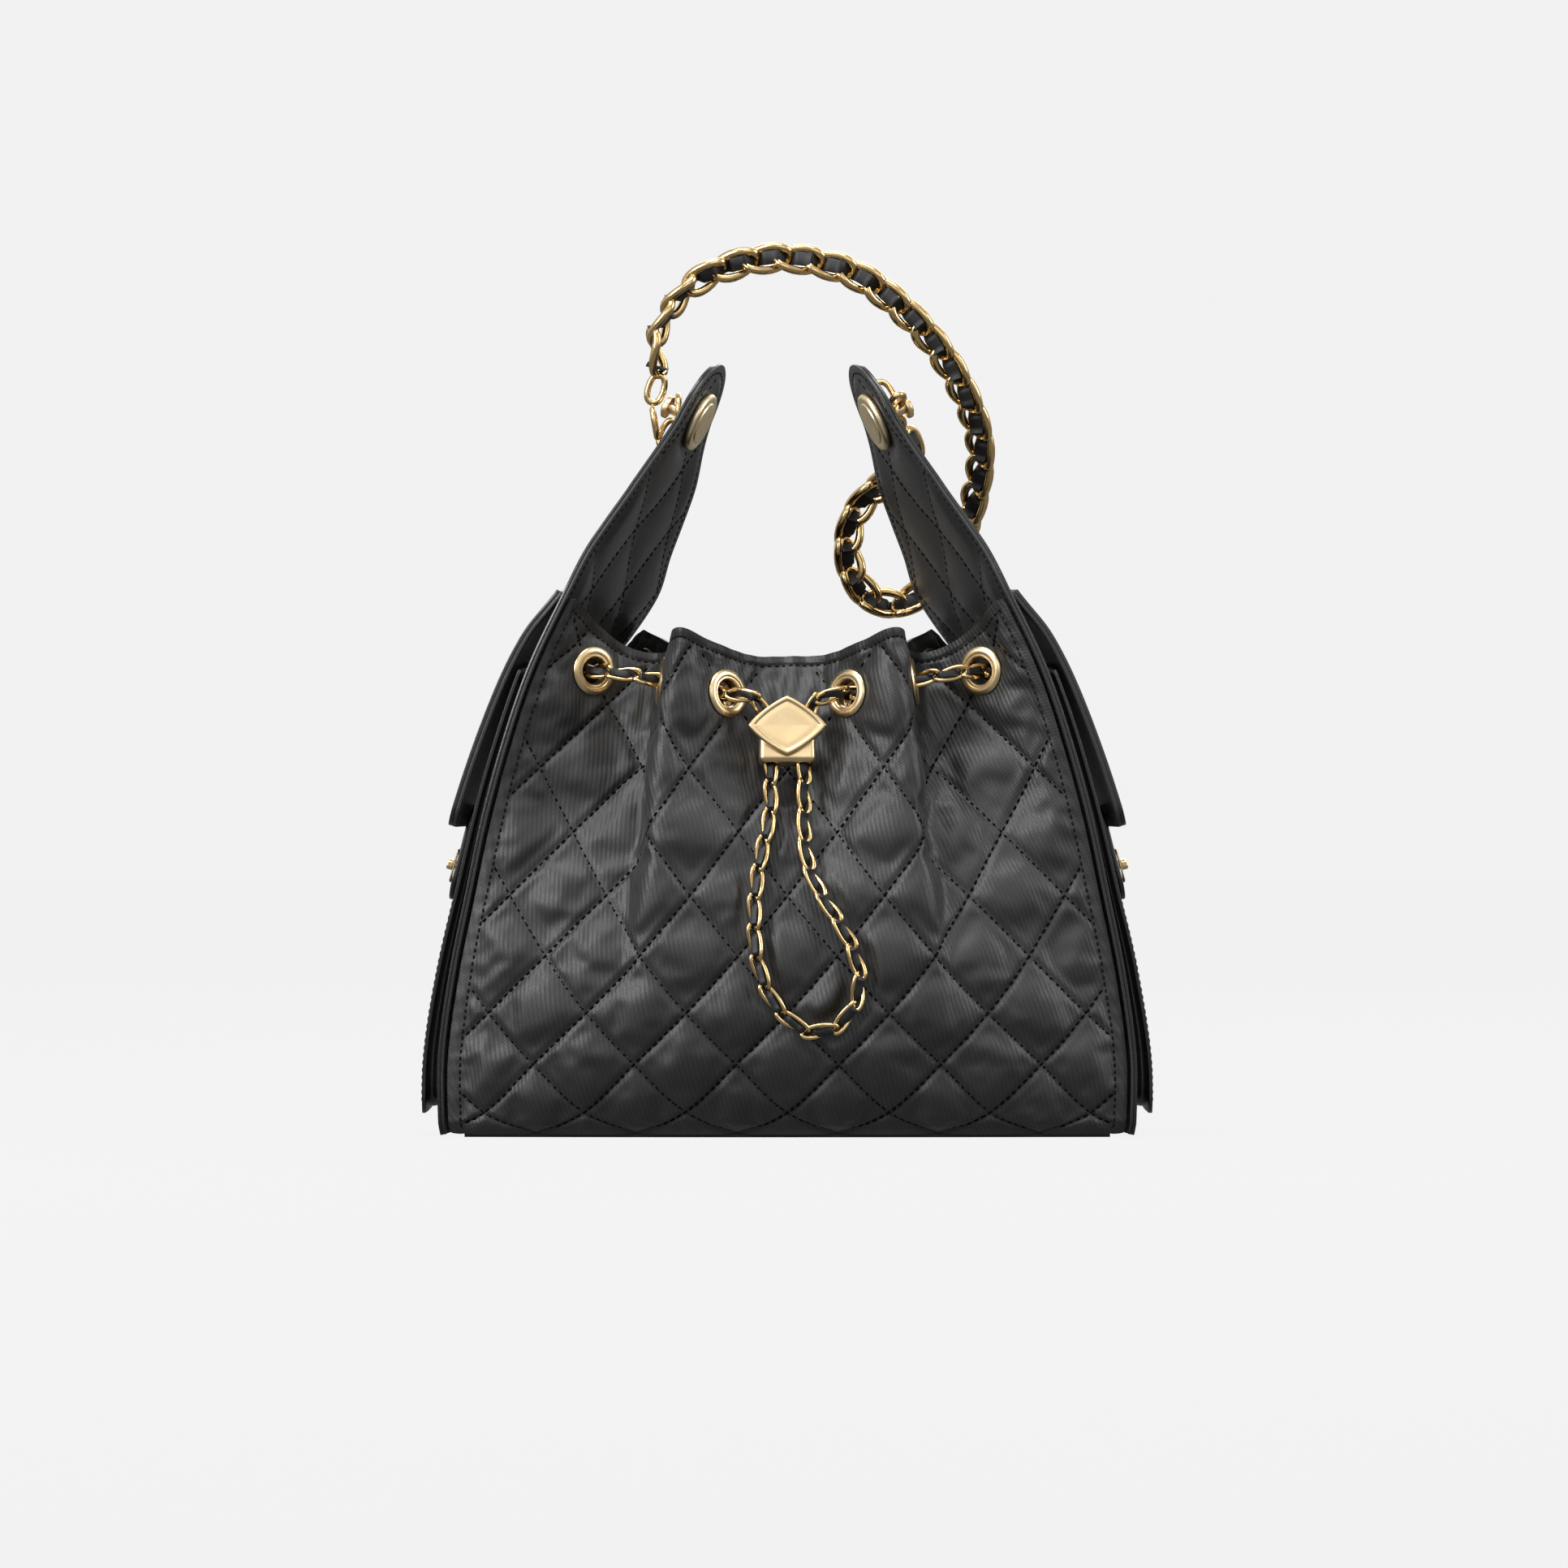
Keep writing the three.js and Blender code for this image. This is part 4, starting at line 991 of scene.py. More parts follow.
def quilted_panel(name, end):
    columns, rows = 2 * HALF_COLUMNS, LOW_ROWS + HEM_ROWS
    puffed = PUFF["start"]

    def place(i, j):
        share, z = panel_place(end, i, j)
        lift = puffed * quilt_puff(end, share, z) - 0.4 + ruffle(end, share, z) * smooth(2, 12, z)
        lift = lift * smooth(0, 0.03, 1 - np.abs(share))
        places = panel_point(end, share, z) + panel_out(end, share, z) * lift[:, None]
        seam = np.abs(share) > 0.999
        for side in (LEFT, RIGHT):
            sewn = seam & (share * side > 0)
            places[sewn] = side_point(side, z[sewn], end * (side_half(z[sewn]) - 1.2), -2.5)
        return places

    def flat(i, j):
        share, z = panel_place(end, i, j)
        return share * HALF_WIDTH, diamonds_at(z) * DIAMOND_TALL

    piece = grid(name, columns, rows, place, flat)
    index = np.arange(len(coords(piece)))
    i, j = index % (columns + 1), index // (columns + 1)
    share, z = panel_place(end, i.astype(float), j.astype(float))
    front = np.array([0, end, 0.0])
    face_towards(piece, lambda places: np.broadcast_to(front, places.shape))
    near = line_distance(share, z)
    held = 1 - smooth(0.3, 1.6, near)
    rim = np.minimum.reduce([(1 - np.abs(share)) * HALF_WIDTH,
                             MOUTH_EDGE[end](np.abs(share)) - z,
                             z - PANEL_FOOT])
    held = np.maximum(held, 1 - smooth(1.5, 4.5, rim))
    for _, at_share, at_z, _, _ in grommet_frames(end):
        apart = np.hypot((share - at_share) * HALF_WIDTH, z - at_z)
        held = np.maximum(held, 1 - smooth(10, 13, apart))
    swell(piece, held)
    modify(piece, "SUBSURF", levels=1, render_levels=1)
    corner = np.empty(len(piece.data.loops), int)
    piece.data.loops.foreach_get("vertex_index", corner)
    uv = np.empty(len(corner) * 2)
    piece.data.uv_layers[0].data.foreach_get("uv", uv)
    flat_at = np.zeros((len(piece.data.vertices), 2))
    flat_at[corner] = uv.reshape(-1, 2) / MM
    share = flat_at[:, 0] / HALF_WIDTH
    z = np.interp(flat_at[:, 1] / DIAMOND_TALL, KNOWN_DIAMONDS, diamond_height(KNOWN_DIAMONDS))
    outs = vertex_normals(piece)
    rim = np.minimum((1 - np.abs(share)) * HALF_WIDTH, MOUTH_EDGE[end](np.abs(share)) - z)
    groove = 1.1 * np.exp(-(line_distance(share, z) / 1.2) ** 2) * smooth(2, 6, rim)
    hem = 0.5 * np.exp(-((rim - HEM_STITCHES) / 0.7) ** 2)
    hollow = slider_hollow(share, z) if end == FRONT else 0
    places = coords(piece) / MM - outs * (groove + hem + hollow)[:, None]
    if end == FRONT:
        places = clear_of_loop(places)
    set_coords(piece, seat_grommets(places, (share, z), end) * MM)
    cut_grommet_holes(piece, end)
    modify(piece, "SOLIDIFY", thickness=1.9 * MM, offset=-1, use_even_offset=False)
    return shade(piece, 75)


def quilting_lines(end):
    """The quilting of a panel, as lines of points with the way out of the cloth."""
    wide = HALF_COLUMNS / PER_DIAMOND
    for way in (-1, 1):
        for k in range(-8, 9):
            tall = np.linspace(-0.4, 4.4, 200)
            share = (k + way * tall) / wide
            z = diamond_height(tall)
            inside = ((np.abs(share) < 0.975) & (z > 2.5)
                      & (z < MOUTH_EDGE[end](np.abs(share)) - 4.5))
            for _, at_share, at_z, _, _ in grommet_frames(end):
                inside &= np.hypot((share - at_share) * HALF_WIDTH, z - at_z) > 10
            runs = np.split(np.arange(len(tall)), np.nonzero(np.diff(inside.astype(int)))[0] + 1)
            for run in runs:
                if len(run) > 4 and inside[run[0]]:
                    yield panel_point(end, share[run], z[run]), panel_out(end, share[run], z[run])


def hem_and_seam_lines(end):
    shares = np.linspace(-0.985, 0.985, 400)
    z = MOUTH_EDGE[end](np.abs(shares)) - HEM_STITCHES
    yield panel_point(end, shares, z), panel_out(end, shares, z)
    for side in (LEFT, RIGHT):
        z = np.linspace(3, 195, 200)
        share = np.full(200, side * 0.978)
        yield panel_point(end, share, z), panel_out(end, share, z)


for end_name, end in ENDS:
    panel = keep(quilted_panel(f"quilted_{end_name}", end), "bag", "quilted_twill", TWILL,
                 f"{end_name}_panel")
    surface = surface_of(panel)
    rows = [m for line, outs in quilting_lines(end)
            for m in sewn_row(surface, line, outs, QUILTING_PITCH, QUILTING_SINK)]
    keep(scattered(f"quilting_{end_name}", STITCH, rows), "bag", "quilted_twill", BLACK_THREAD_AND_HOLE_SHADE)
    rows = [m for line, outs in hem_and_seam_lines(end)
            for m in sewn_row(surface, line, outs, SEAM_PITCH)]
    keep(scattered(f"seam_stitches_{end_name}", STITCH, rows), "bag", "quilted_twill", SEAM_THREAD)

# ---- side leathers that rise into the ears -----------------------------------------------

EAR_STEPS = 12
SIDE_FOOT = 1


def side_layout(rows_below, columns, i, j):
    """Height and distance across of a side leather's grid, its last rows filling the round ear."""
    s = 2 * i / columns - 1
    t = np.clip((j - rows_below) / EAR_STEPS, 0, 1)
    below = np.minimum(j, rows_below) / rows_below
    z = SIDE_FOOT + (EAR_CENTRE - SIDE_FOOT) * below
    across = side_half(z) * s
    cap_across = EAR_RADIUS * s * np.sqrt(1 - t * t / 2)
    cap_up = EAR_RADIUS * t * np.sqrt(1 - s * s / 2)
    in_cap = j > rows_below
    return (np.where(in_cap, EAR_CENTRE + cap_up * math.cos(EAR_LEAN), z),
            np.where(in_cap, cap_across, across))


def from_rim(z, across):
    """How far a point of the side leather is from its cut edge."""
    in_cap = z > EAR_CENTRE
    up = (z - EAR_CENTRE) / math.cos(EAR_LEAN)
    round_gap = EAR_RADIUS - np.hypot(across, up)
    return np.where(in_cap, round_gap, side_half(z) - np.abs(across))


def ear_quilt(z, across):
    """The facing's quilting: diamonds above the mouth, flat round the disc and at the edge."""
    one, other = np.mod(across / 34 + z / 46 + 0.35, 1), np.mod(across / 34 - z / 46 + 0.15, 1)
    filled = np.maximum(np.sin(np.pi * one) * np.sin(np.pi * other), 0) ** 0.55
    disc = np.hypot(across, (z - EAR_CENTRE) / math.cos(EAR_LEAN))
    return filled * smooth(3, 9, from_rim(z, across)) * smooth(12, 17, disc)


def side_skin(name, side, near, thick, quilted):
    rows_below, columns = 130, 36

    def place(i, j):
        z, across = side_layout(rows_below, columns, i, j)
        lift = np.full(len(z), float(near))
        wave = np.array([noise.noise(Vector((a * 0.03, h * 0.025, side * 4.0 + near)))
                         for a, h in zip(across, z)])
        if quilted:
            lift = lift - 1.6 * ear_quilt(z, across)
            groove = np.exp(-((from_rim(z, across) - 3.0) / 0.6) ** 2)
            lift = lift + 0.3 * groove
        else:
            groove = np.exp(-((from_rim(z, across) - 3.0) / 0.6) ** 2)
            lift = lift - 0.3 * groove + 0.15 * wave * smooth(2, 10, from_rim(z, across))
        return side_point(side, z, across, lift)

    piece = grid(name, columns, rows_below + EAR_STEPS, place)
    facing = -1 if quilted else 1
    face_towards(piece, lambda at: side_axes(side, at[:, 2])[2] * facing)
    modify(piece, "SOLIDIFY", thickness=thick * MM, offset=-1)
    modify(piece, "BEVEL", width=0.35 * MM, segments=2, limit_method="ANGLE",
           angle_limit=math.radians(60))
    return shade(piece, 55)


def edge_line(side, inset, off, low, high=EAR_CENTRE):
    """Points up one edge of a side leather, round its ear and down the other edge."""
    up = np.linspace(low, high, 220)
    turn = np.linspace(0, math.pi, 60)[1:-1]
    radius = EAR_RADIUS - inset
    z = np.concatenate([up, EAR_CENTRE + radius * np.sin(turn) * math.cos(EAR_LEAN), up[::-1]])
    across = np.concatenate([-(side_half(up) - inset), -radius * np.cos(turn),
                             (side_half(up) - inset)[::-1]])
    return side_point(side, z, across, off), side_axes(side, z)[2]


def ear_quilt_lines(side):
    for way in (-1, 1):
        for k in range(-12, 16):
            across = np.linspace(-50, 50, 240)
            shift = 0.35 if way > 0 else 0.15
            z = 46 * way * (k - shift - across / 34)
            inside = (z > 168) & (from_rim(z, across) > 4.2)
            inside &= np.hypot(across, (z - EAR_CENTRE) / math.cos(EAR_LEAN)) > 12.5
            runs = np.split(np.arange(240), np.nonzero(np.diff(inside.astype(int)))[0] + 1)
            for run in runs:
                if len(run) > 4 and inside[run[0]]:
                    yield (side_point(side, z[run], across[run], -2), -side_axes(side, z[run])[2])


for side_name, side in SIDES:
    outer = keep(side_skin(f"side_skin_{side_name}", side, 1.2, 1.1, False), "bag",
                 "black_leather", SIDE_LEATHER, f"side_leather_{side_name}")
    facing = keep(side_skin(f"side_facing_{side_name}", side, -1.2, 1.1, True), "bag",
                  "black_leather", FACING_LEATHER)
    outer_face, inner_face = surface_of(outer), surface_of(facing)
    line, outs = edge_line(side, 3.0, 1.2, 4)
    rows = sewn_row(outer_face, line, outs, LEATHER_PITCH)
    line, outs = edge_line(side, 3.0, -1.2, 150)
    rows += sewn_row(inner_face, line, -outs, LEATHER_PITCH)
    keep(scattered(f"ear_stitches_{side_name}", STITCH, rows), "bag", "black_leather", SEAM_THREAD)
    rows = [m for line, outs in ear_quilt_lines(side)
            for m in sewn_row(inner_face, line, outs, QUILTING_PITCH)]
    keep(scattered(f"ear_quilting_{side_name}", STITCH, rows), "bag", "black_leather", BLACK_THREAD_AND_HOLE_SHADE)


# ---- side pockets, flaps and tongues -----------------------------------------------------

POCKET = {"foot": 9, "mouth": 170, "half": 43.5}
FLAP = {"foot": 111, "hinge": 200, "half": 43.5}
TAB = {"foot": 85, "top": 119, "half": 11.5}
LOCK_HEIGHT = 97
GAP = 0.3
CUT_EDGE = 0.45
HEM_INSET = 3
pocket_edge = track((9, 7.1), (60, 6), (110, 5), (170, 5.2))
pocket_middle = track((9, 7.1), (60, 6.8), (97, 6.5), (130, 7.5), (170, 9.4))
flap_edge = track((111, 10.4), (162, 8), (176, 7), (184, 6), (194, 3.4), (200, 1.9))
flap_middle = track((111, 11), (150, 10.6), (170, 10.4), (184, 8), (194, 3.6), (200, 1.9))
PLATE_FOOT = float(pocket_middle(LOCK_HEIGHT)) + GAP
LOCK_PLATE = 0.8
LOCK_SLOT = (15.4, 8.9)
LOCK_FRAME = {"half_wide": 10, "half_tall": 6.5, "corner": 3}
LOCK_BAR = (12.5, 4, 2.3)
TAB_FOOT = PLATE_FOOT + LOCK_PLATE + GAP
TAB_THICK = 2
RIM_FOOT = TAB_FOOT + TAB_THICK + GAP
KNOB_FOOT = RIM_FOOT + LOCK_PLATE + GAP


def domed(edge, middle, z, share):
    return edge(z) + (middle(z) - edge(z)) * (1 - share ** 2)


def rounded_sheet(low, high, half, corner, columns, rows):
    """Height and share across of a sheet whose two lower corners are rounded."""
    def layout(i, j):
        turn = np.clip(j / 8, 0, 1) * math.pi / 2
        rest = np.clip((j - 8) / (rows - 8), 0, 1)
        z = low + corner * (1 - np.cos(turn)) + (high - low - corner) * rest
        reach = half - corner + corner * np.sin(turn)
        return z, reach * (2 * i / columns - 1)
    return layout


def leather_sheet(name, side, layout, columns, rows, lift, thick):
    def place(i, j):
        z, across = layout(i, j)
        return side_point(side, z, across, lift(z, across))

    piece = grid(name, columns, rows, place)
    face_towards(piece, lambda at: side_axes(side, at[:, 2])[2])
    modify(piece, "SOLIDIFY", thickness=thick * MM, offset=-1)
    modify(piece, "BEVEL", width=CUT_EDGE * MM, segments=2, limit_method="ANGLE",
           angle_limit=math.radians(60))
    return shade(piece, 55)


def hem_groove(z, across, low, half, inset):
    rim = np.minimum(half - np.abs(across), z - low)
    return 0.3 * np.exp(-((rim - inset) / 0.6) ** 2)


def sheet_edge_line(side, low, high, half, corner, inset, lift):
    """Points down one edge of a pocket or flap, round its lower corners and up the other."""
    down = np.linspace(high, low + corner, 120)
    turn = np.linspace(0, math.pi / 2, 16)[1:]
    r = corner - inset
    base_across = np.linspace(half - corner, -(half - corner), 90)[1:-1]
    across = np.concatenate([np.full(len(down), half - inset), half - corner + r * np.cos(turn),
                             base_across, -(half - corner) - r * np.cos(turn[::-1]),
                             np.full(len(down), -(half - inset))])
    z = np.concatenate([down, low + corner - r * np.sin(turn),
                        np.full(len(base_across), low + inset),
                        low + corner - r * np.sin(turn[::-1]), down[::-1]])
    return side_point(side, z, across, lift(z, across)), side_axes(side, z)[2]


def pocket_wall(name, side):
    """The gusset behind the pocket's face: in from the face's edge, from the side leather out."""
    half, foot, mouth = POCKET["half"] - 2.6, POCKET["foot"] + 2.6, POCKET["mouth"] - 1
    corner, around, deep, pull = 7, 120, 8, 0.035

    def place(i, j):
        turn = np.linspace(0, math.pi / 2, 9)
        across = np.concatenate([[half], half - corner + corner * np.cos(turn),
                                 -(half - corner) - corner * np.cos(turn[::-1]), [-half]])
        z = np.concatenate([[mouth], foot + corner - corner * np.sin(turn),
                            foot + corner - corner * np.sin(turn[::-1]), [mouth]])
        line = np.column_stack([across, z])
        at = at_lengths(line, i / around * run_length(line)[-1])
        share = at[:, 0] / POCKET["half"]
        top = domed(pocket_edge, pocket_middle, at[:, 1], share) - 1.4
        fold = np.sin(np.pi * j / deep)
        inward = at * (1 - pull * fold)[:, None] + np.array([0, 3.0]) * (pull * fold)[:, None]
        return side_point(side, inward[:, 1], inward[:, 0], 1.25 + (top - 1.25) * j / deep)

    piece = grid(name, around, deep, place)
    middle = side_point(side, 80.0, 0.0, 3.0)
    face_towards(piece, lambda at: at - middle)
    modify(piece, "SOLIDIFY", thickness=1.0 * MM, offset=-1)
    return shade(piece, 55)


def slot_outline(turn, long, high):
    """A long slot with round ends, as points at these angles from its middle."""
    r = high / 2
    x, y = np.cos(turn), np.sin(turn)
    straight = long / 2 - r
    flat = r / np.maximum(np.abs(y), 1e-6)
    end = straight * np.abs(x) + np.sqrt(np.maximum(r * r - (straight * y) ** 2, 0))
    reach = np.where(flat * np.abs(x) <= straight, flat, end)
    return x * reach, y * reach


def box_outline(turn, left, right, low, high, corner):
    """A rounded box as seen from its origin, as points at these angles."""
    arc = np.linspace(0, math.pi / 2, 12)
    points = []
    for cx, cy, start in ((right - corner, high - corner, 0), (left + corner, high - corner, 1),
                          (left + corner, low + corner, 2), (right - corner, low + corner, 3)):
        points += [(cx + corner * math.cos(a + start * math.pi / 2),
                    cy + corner * math.sin(a + start * math.pi / 2)) for a in arc]
    points = np.array(points)
    # The straight sides are filled in too, so that the reach can be looked up at any angle.
    between = np.linspace(0, 1, 40, endpoint=False)
    following = np.roll(points, -1, axis=0)
    line = (points[:, None] + (following - points)[:, None] * between[:, None]).reshape(-1, 2)
    angle = np.unwrap(np.arctan2(line[:, 1], line[:, 0]))
    reach = np.hypot(*line.T)
    order = np.concatenate([angle - 2 * math.pi, angle, angle + 2 * math.pi])
    at = np.interp(turn, order, np.tile(reach, 3))
    return np.cos(turn) * at, np.sin(turn) * at


def pierced_plate(name, outline, slot, place, rings=4, around=96):
    """A flat plate between an outline and a slot, each given by angle, laid by place(u, v)."""
    bpy.ops.mesh.primitive_grid_add(x_subdivisions=around, y_subdivisions=rings, size=2)
    piece = bpy.context.object
    piece.name = piece.data.name = name
    start = coords(piece)
    turn = (start[:, 0] + 1) * math.pi
    share = ((start[:, 1] + 1) / 2)[:, None]
    inner, outer = np.column_stack(slot(turn)), np.column_stack(outline(turn))
    flat = inner * (1 - share) + outer * share
    set_coords(piece, place(flat[:, 0], flat[:, 1]) * MM)
    alone(piece)
    edit(merge_and_face_out)
    return piece


def tongue(name, side):
    lift = track((TAB["foot"], TAB_FOOT - 0.3), (91, TAB_FOOT), (104, TAB_FOOT),
                 (TAB["top"], TAB_FOOT + 0.6))

    def place(u, v):
        z = LOCK_HEIGHT + v
        return side_point(side, z, u, lift(z) + TAB_THICK)

    piece = pierced_plate(
        name, lambda turn: box_outline(turn, -TAB["half"], TAB["half"], TAB["foot"] - LOCK_HEIGHT,
                                       TAB["top"] - LOCK_HEIGHT, 8),
        lambda turn: slot_outline(turn, *LOCK_SLOT), place)
    face_towards(piece, lambda at: side_axes(side, at[:, 2])[2])
    modify(piece, "SOLIDIFY", thickness=TAB_THICK * MM, offset=-1)
    modify(piece, "BEVEL", width=0.5 * MM, segments=2, limit_method="ANGLE",
           angle_limit=math.radians(60))
    return shade(piece, 55)


def lock_axes(side):
    across, _, out = side_axes(side, LOCK_HEIGHT)
    length = across * side
    return Vector(length), Vector(np.cross(out, length)), Vector(out)


def lock_rim(name, side):
    """The raised gold frame round the tongue's slot."""
    x, y, out = lock_axes(side)
    at = side_point(side, LOCK_HEIGHT, 0, RIM_FOOT)
    wide, tall = LOCK_FRAME["half_wide"], LOCK_FRAME["half_tall"]

    def place(u, v):
        edge = np.minimum(wide - np.abs(u), tall - np.abs(v))
        lift = LOCK_PLATE * (0.72 + 0.28 * smooth(0, 0.9, edge))
        return at + np.outer(u, x) + np.outer(v, y) + lift[:, None] * np.array(out)

    piece = pierced_plate(
        name, lambda turn: box_outline(turn, -wide, wide, -tall, tall, LOCK_FRAME["corner"]),
        lambda turn: slot_outline(turn, *LOCK_SLOT), place, rings=6)
    face_towards(piece, lambda places: np.broadcast_to(np.array(out), places.shape))
    modify(piece, "SOLIDIFY", thickness=LOCK_PLATE * 0.7 * MM, offset=-1)
    modify(piece, "BEVEL", width=0.16 * MM, segments=2, limit_method="ANGLE",
           angle_limit=math.radians(50))
    return shade(piece, 40)


def lock_knob(name, side):
    """The turning bar: round ends, and a waist to hold it by."""
    bpy.ops.mesh.primitive_cube_add(size=1)
    piece = bpy.context.object
    piece.name = piece.data.name = name
    edit(lambda: bpy.ops.mesh.subdivide(number_cuts=5))
    set_coords(piece, coords(piece) * LOCK_BAR * MM)
    modify(piece, "BEVEL", width=0.9 * MM, segments=3, limit_method="ANGLE",
           angle_limit=math.radians(60))
    places = coords(piece) / MM
    u = np.clip(np.abs(places[:, 0]) / (LOCK_BAR[0] / 2), 0, 1)
    round_end = np.sqrt(np.maximum(1 - smooth(0.72, 1, u) ** 2 * 0.75, 0.2))
    waist = 0.76 + 0.24 * smooth(0.1, 0.6, u)
    places[:, 1] *= round_end * waist
    places[:, 2] *= 1 - 0.25 * (1 - smooth(0.05, 0.5, u))
    places[:, 2] += LOCK_BAR[2] / 2
    set_coords(piece, places * MM)
    piece.data.transform(basis(side_point(side, LOCK_HEIGHT, 0, KNOB_FOOT), *lock_axes(side)))
    return shade(piece, 60)


for side_name, side in SIDES:
    half, foot, mouth = POCKET["half"], POCKET["foot"], POCKET["mouth"]

    def pocket_lift(z, across):
        face = domed(pocket_edge, pocket_middle, z, across / POCKET["half"])
        soft = np.array([noise.noise(Vector((a * 0.04, h * 0.03, 2.0 * side)))
                         for a, h in zip(across, z)])
        return face - hem_groove(z, across, POCKET["foot"], POCKET["half"], HEM_INSET) + 0.25 * soft

    def flap_lift(z, across):
        face = domed(flap_edge, flap_middle, z, across / FLAP["half"]) + 3.0
        return face - hem_groove(z, across, FLAP["foot"], FLAP["half"], HEM_INSET)

    pocket_face = leather_sheet(f"pocket_face_{side_name}", side,
                                rounded_sheet(foot, mouth, half, 6, 40, 90), 40, 90, pocket_lift,
                                1.3)
    keep(pocket_face, "bag", "black_leather", SIDE_LEATHER, f"pocket_{side_name}")
    keep(pocket_wall(f"pocket_gusset_{side_name}", side), "bag", "black_leather", SIDE_LEATHER)

    flap_body = f"flap_{side_name}_body"
    layout = rounded_sheet(FLAP["foot"], FLAP["hinge"], FLAP["half"], 7, 40, 60)
    flap_face = leather_sheet(f"flap_face_{side_name}", side, layout, 40, 60, flap_lift, 1.45)
    keep(flap_face, flap_body, "black_leather", SIDE_LEATHER, f"flap_{side_name}")
    flap_lining = leather_sheet(f"flap_lining_{side_name}", side, layout, 40, 60,
                                lambda z, across: flap_lift(z, across) - 1.55, 1.4)
    keep(flap_lining, flap_body, "black_leather", FACING_LEATHER)

    tab = keep(tongue(f"flap_tongue_{side_name}", side), flap_body, "black_leather", SIDE_LEATHER,
               f"flap_tab_{side_name}")
    keep(lock_rim(f"turn_lock_frame_{side_name}", side), flap_body, "pale_gold", PALE_GOLD,
         f"turn_lock_rim_{side_name}")
    keep(lock_knob(f"turn_lock_bar_{side_name}", side), f"knob_{side_name}_body", "pale_gold",
         PALE_GOLD, f"turn_lock_knob_{side_name}")

    line, outs = sheet_edge_line(side, foot, mouth - 4, half, 6, HEM_INSET, pocket_lift)
    rows = sewn_row(surface_of(pocket_face), line, outs, LEATHER_PITCH)
    keep(scattered(f"pocket_stitches_{side_name}", STITCH, rows), "bag", "black_leather",
         BLACK_THREAD_AND_HOLE_SHADE)
    line, outs = sheet_edge_line(side, FLAP["foot"], FLAP["hinge"] - 6, FLAP["half"], 7, HEM_INSET,
                                 flap_lift)
    rows = sewn_row(surface_of(flap_face), line, outs, LEATHER_PITCH)
    keep(scattered(f"flap_stitches_{side_name}", STITCH, rows), flap_body, "black_leather",
         BLACK_THREAD_AND_HOLE_SHADE)


# ---- gold fittings -----------------------------------------------------------------------

GROMMET_PROFILE = (
    (5.0, -2.9), (5.35, -3.6), (8.2, -3.9), (8.6, -3.2), (8.4, -2.75), (5.7, -2.6), (5.7, 0.4),
    (8.9, 0.45), (9.0, 0.75), (8.75, 1.15), (8.2, 1.5), (7.3, 1.72), (6.7, 1.62), (6.45, 1.3),
    (6.2, 1.25), (5.75, 1.3), (5.3, 1.05), (5.0, 0.4))
DISC_PROFILE = (
    (0, 0.9), (0, 3.05), (6.9, 3.05), (7.5, 2.85), (7.75, 2.45), (8.5, 2.4), (8.75, 2.55),
    (9.9, 2.5), (10.5, 2.1), (10.8, 1.4), (10.8, 0.5), (10.5, 0.05), (2, 0))
WASHER_PROFILE = ((2.3, 0), (7, 0), (7.1, 0.3), (6.6, 0.75), (2.6, 0.85), (2.3, 0.5))
BUTTON_PROFILE = ((0, 0.2), (0, 3.0), (1.6, 2.95), (2.8, 2.6), (3.2, 2.1), (4.1, 1.9), (4.35, 1.3),
                  (4.3, 0.2), (3.9, 0), (2.1, 0.05))

grommet = turned("grommet", GROMMET_PROFILE)
for end_name, end in ENDS:
    for place, _, _, at, out in grommet_frames(end):
        piece = copied(grommet, f"eyelet_{end_name}_{place}", basis(at, *axes_from(out)))
        keep(piece, "bag", "pale_gold", PALE_GOLD, f"grommet_{end_name}_{place}")
discard(grommet)


SHANK_PROFILE = ((0, -1.5), (2, -1.5), (2, 10.6), (1.7, 11), (0, 11))
# A piece, its profile, its facets, how far it lies off the leather, and the node it replaces.
EAR_FITTINGS = (("ear_shank", SHANK_PROFILE, 24, 0, "ear_disc"),
                ("ear_collar", WASHER_PROFILE, 40, 1.5, "ear_washer"),
                ("ear_cap", BUTTON_PROFILE, 40, 10.2, "ear_button"))
RING_OFF = 6.6  # from the side leather's middle surface
RING_INSIDE = 3.6  # from the ring's middle to the near end of a link through it


def ear_disc(name, side):
    """The stepped disc inside an ear, with two holes for a pin spanner."""
    piece = turned(name, DISC_PROFILE, 64)
    for x in (-3.6, 3.6):
        bpy.ops.mesh.primitive_cylinder_add(vertices=20, radius=0.95 * MM, depth=3 * MM,
                                            location=(x * MM, 0, 3.6 * MM))
        drill = bpy.context.object
        modify(piece, "BOOLEAN", operation="DIFFERENCE", object=drill, solver="EXACT")
        discard(drill)
    across, up, out = side_axes(side, EAR_CENTRE)
    tilt = math.radians(58)
    x = Vector(across) * math.cos(tilt) + Vector(up) * math.sin(tilt)
    inward = -Vector(out)
    at = side_point(side, EAR_CENTRE, 0, -1.5)
    piece.data.transform(basis(at, x, inward.cross(x), inward))
    return shade(piece, 35)


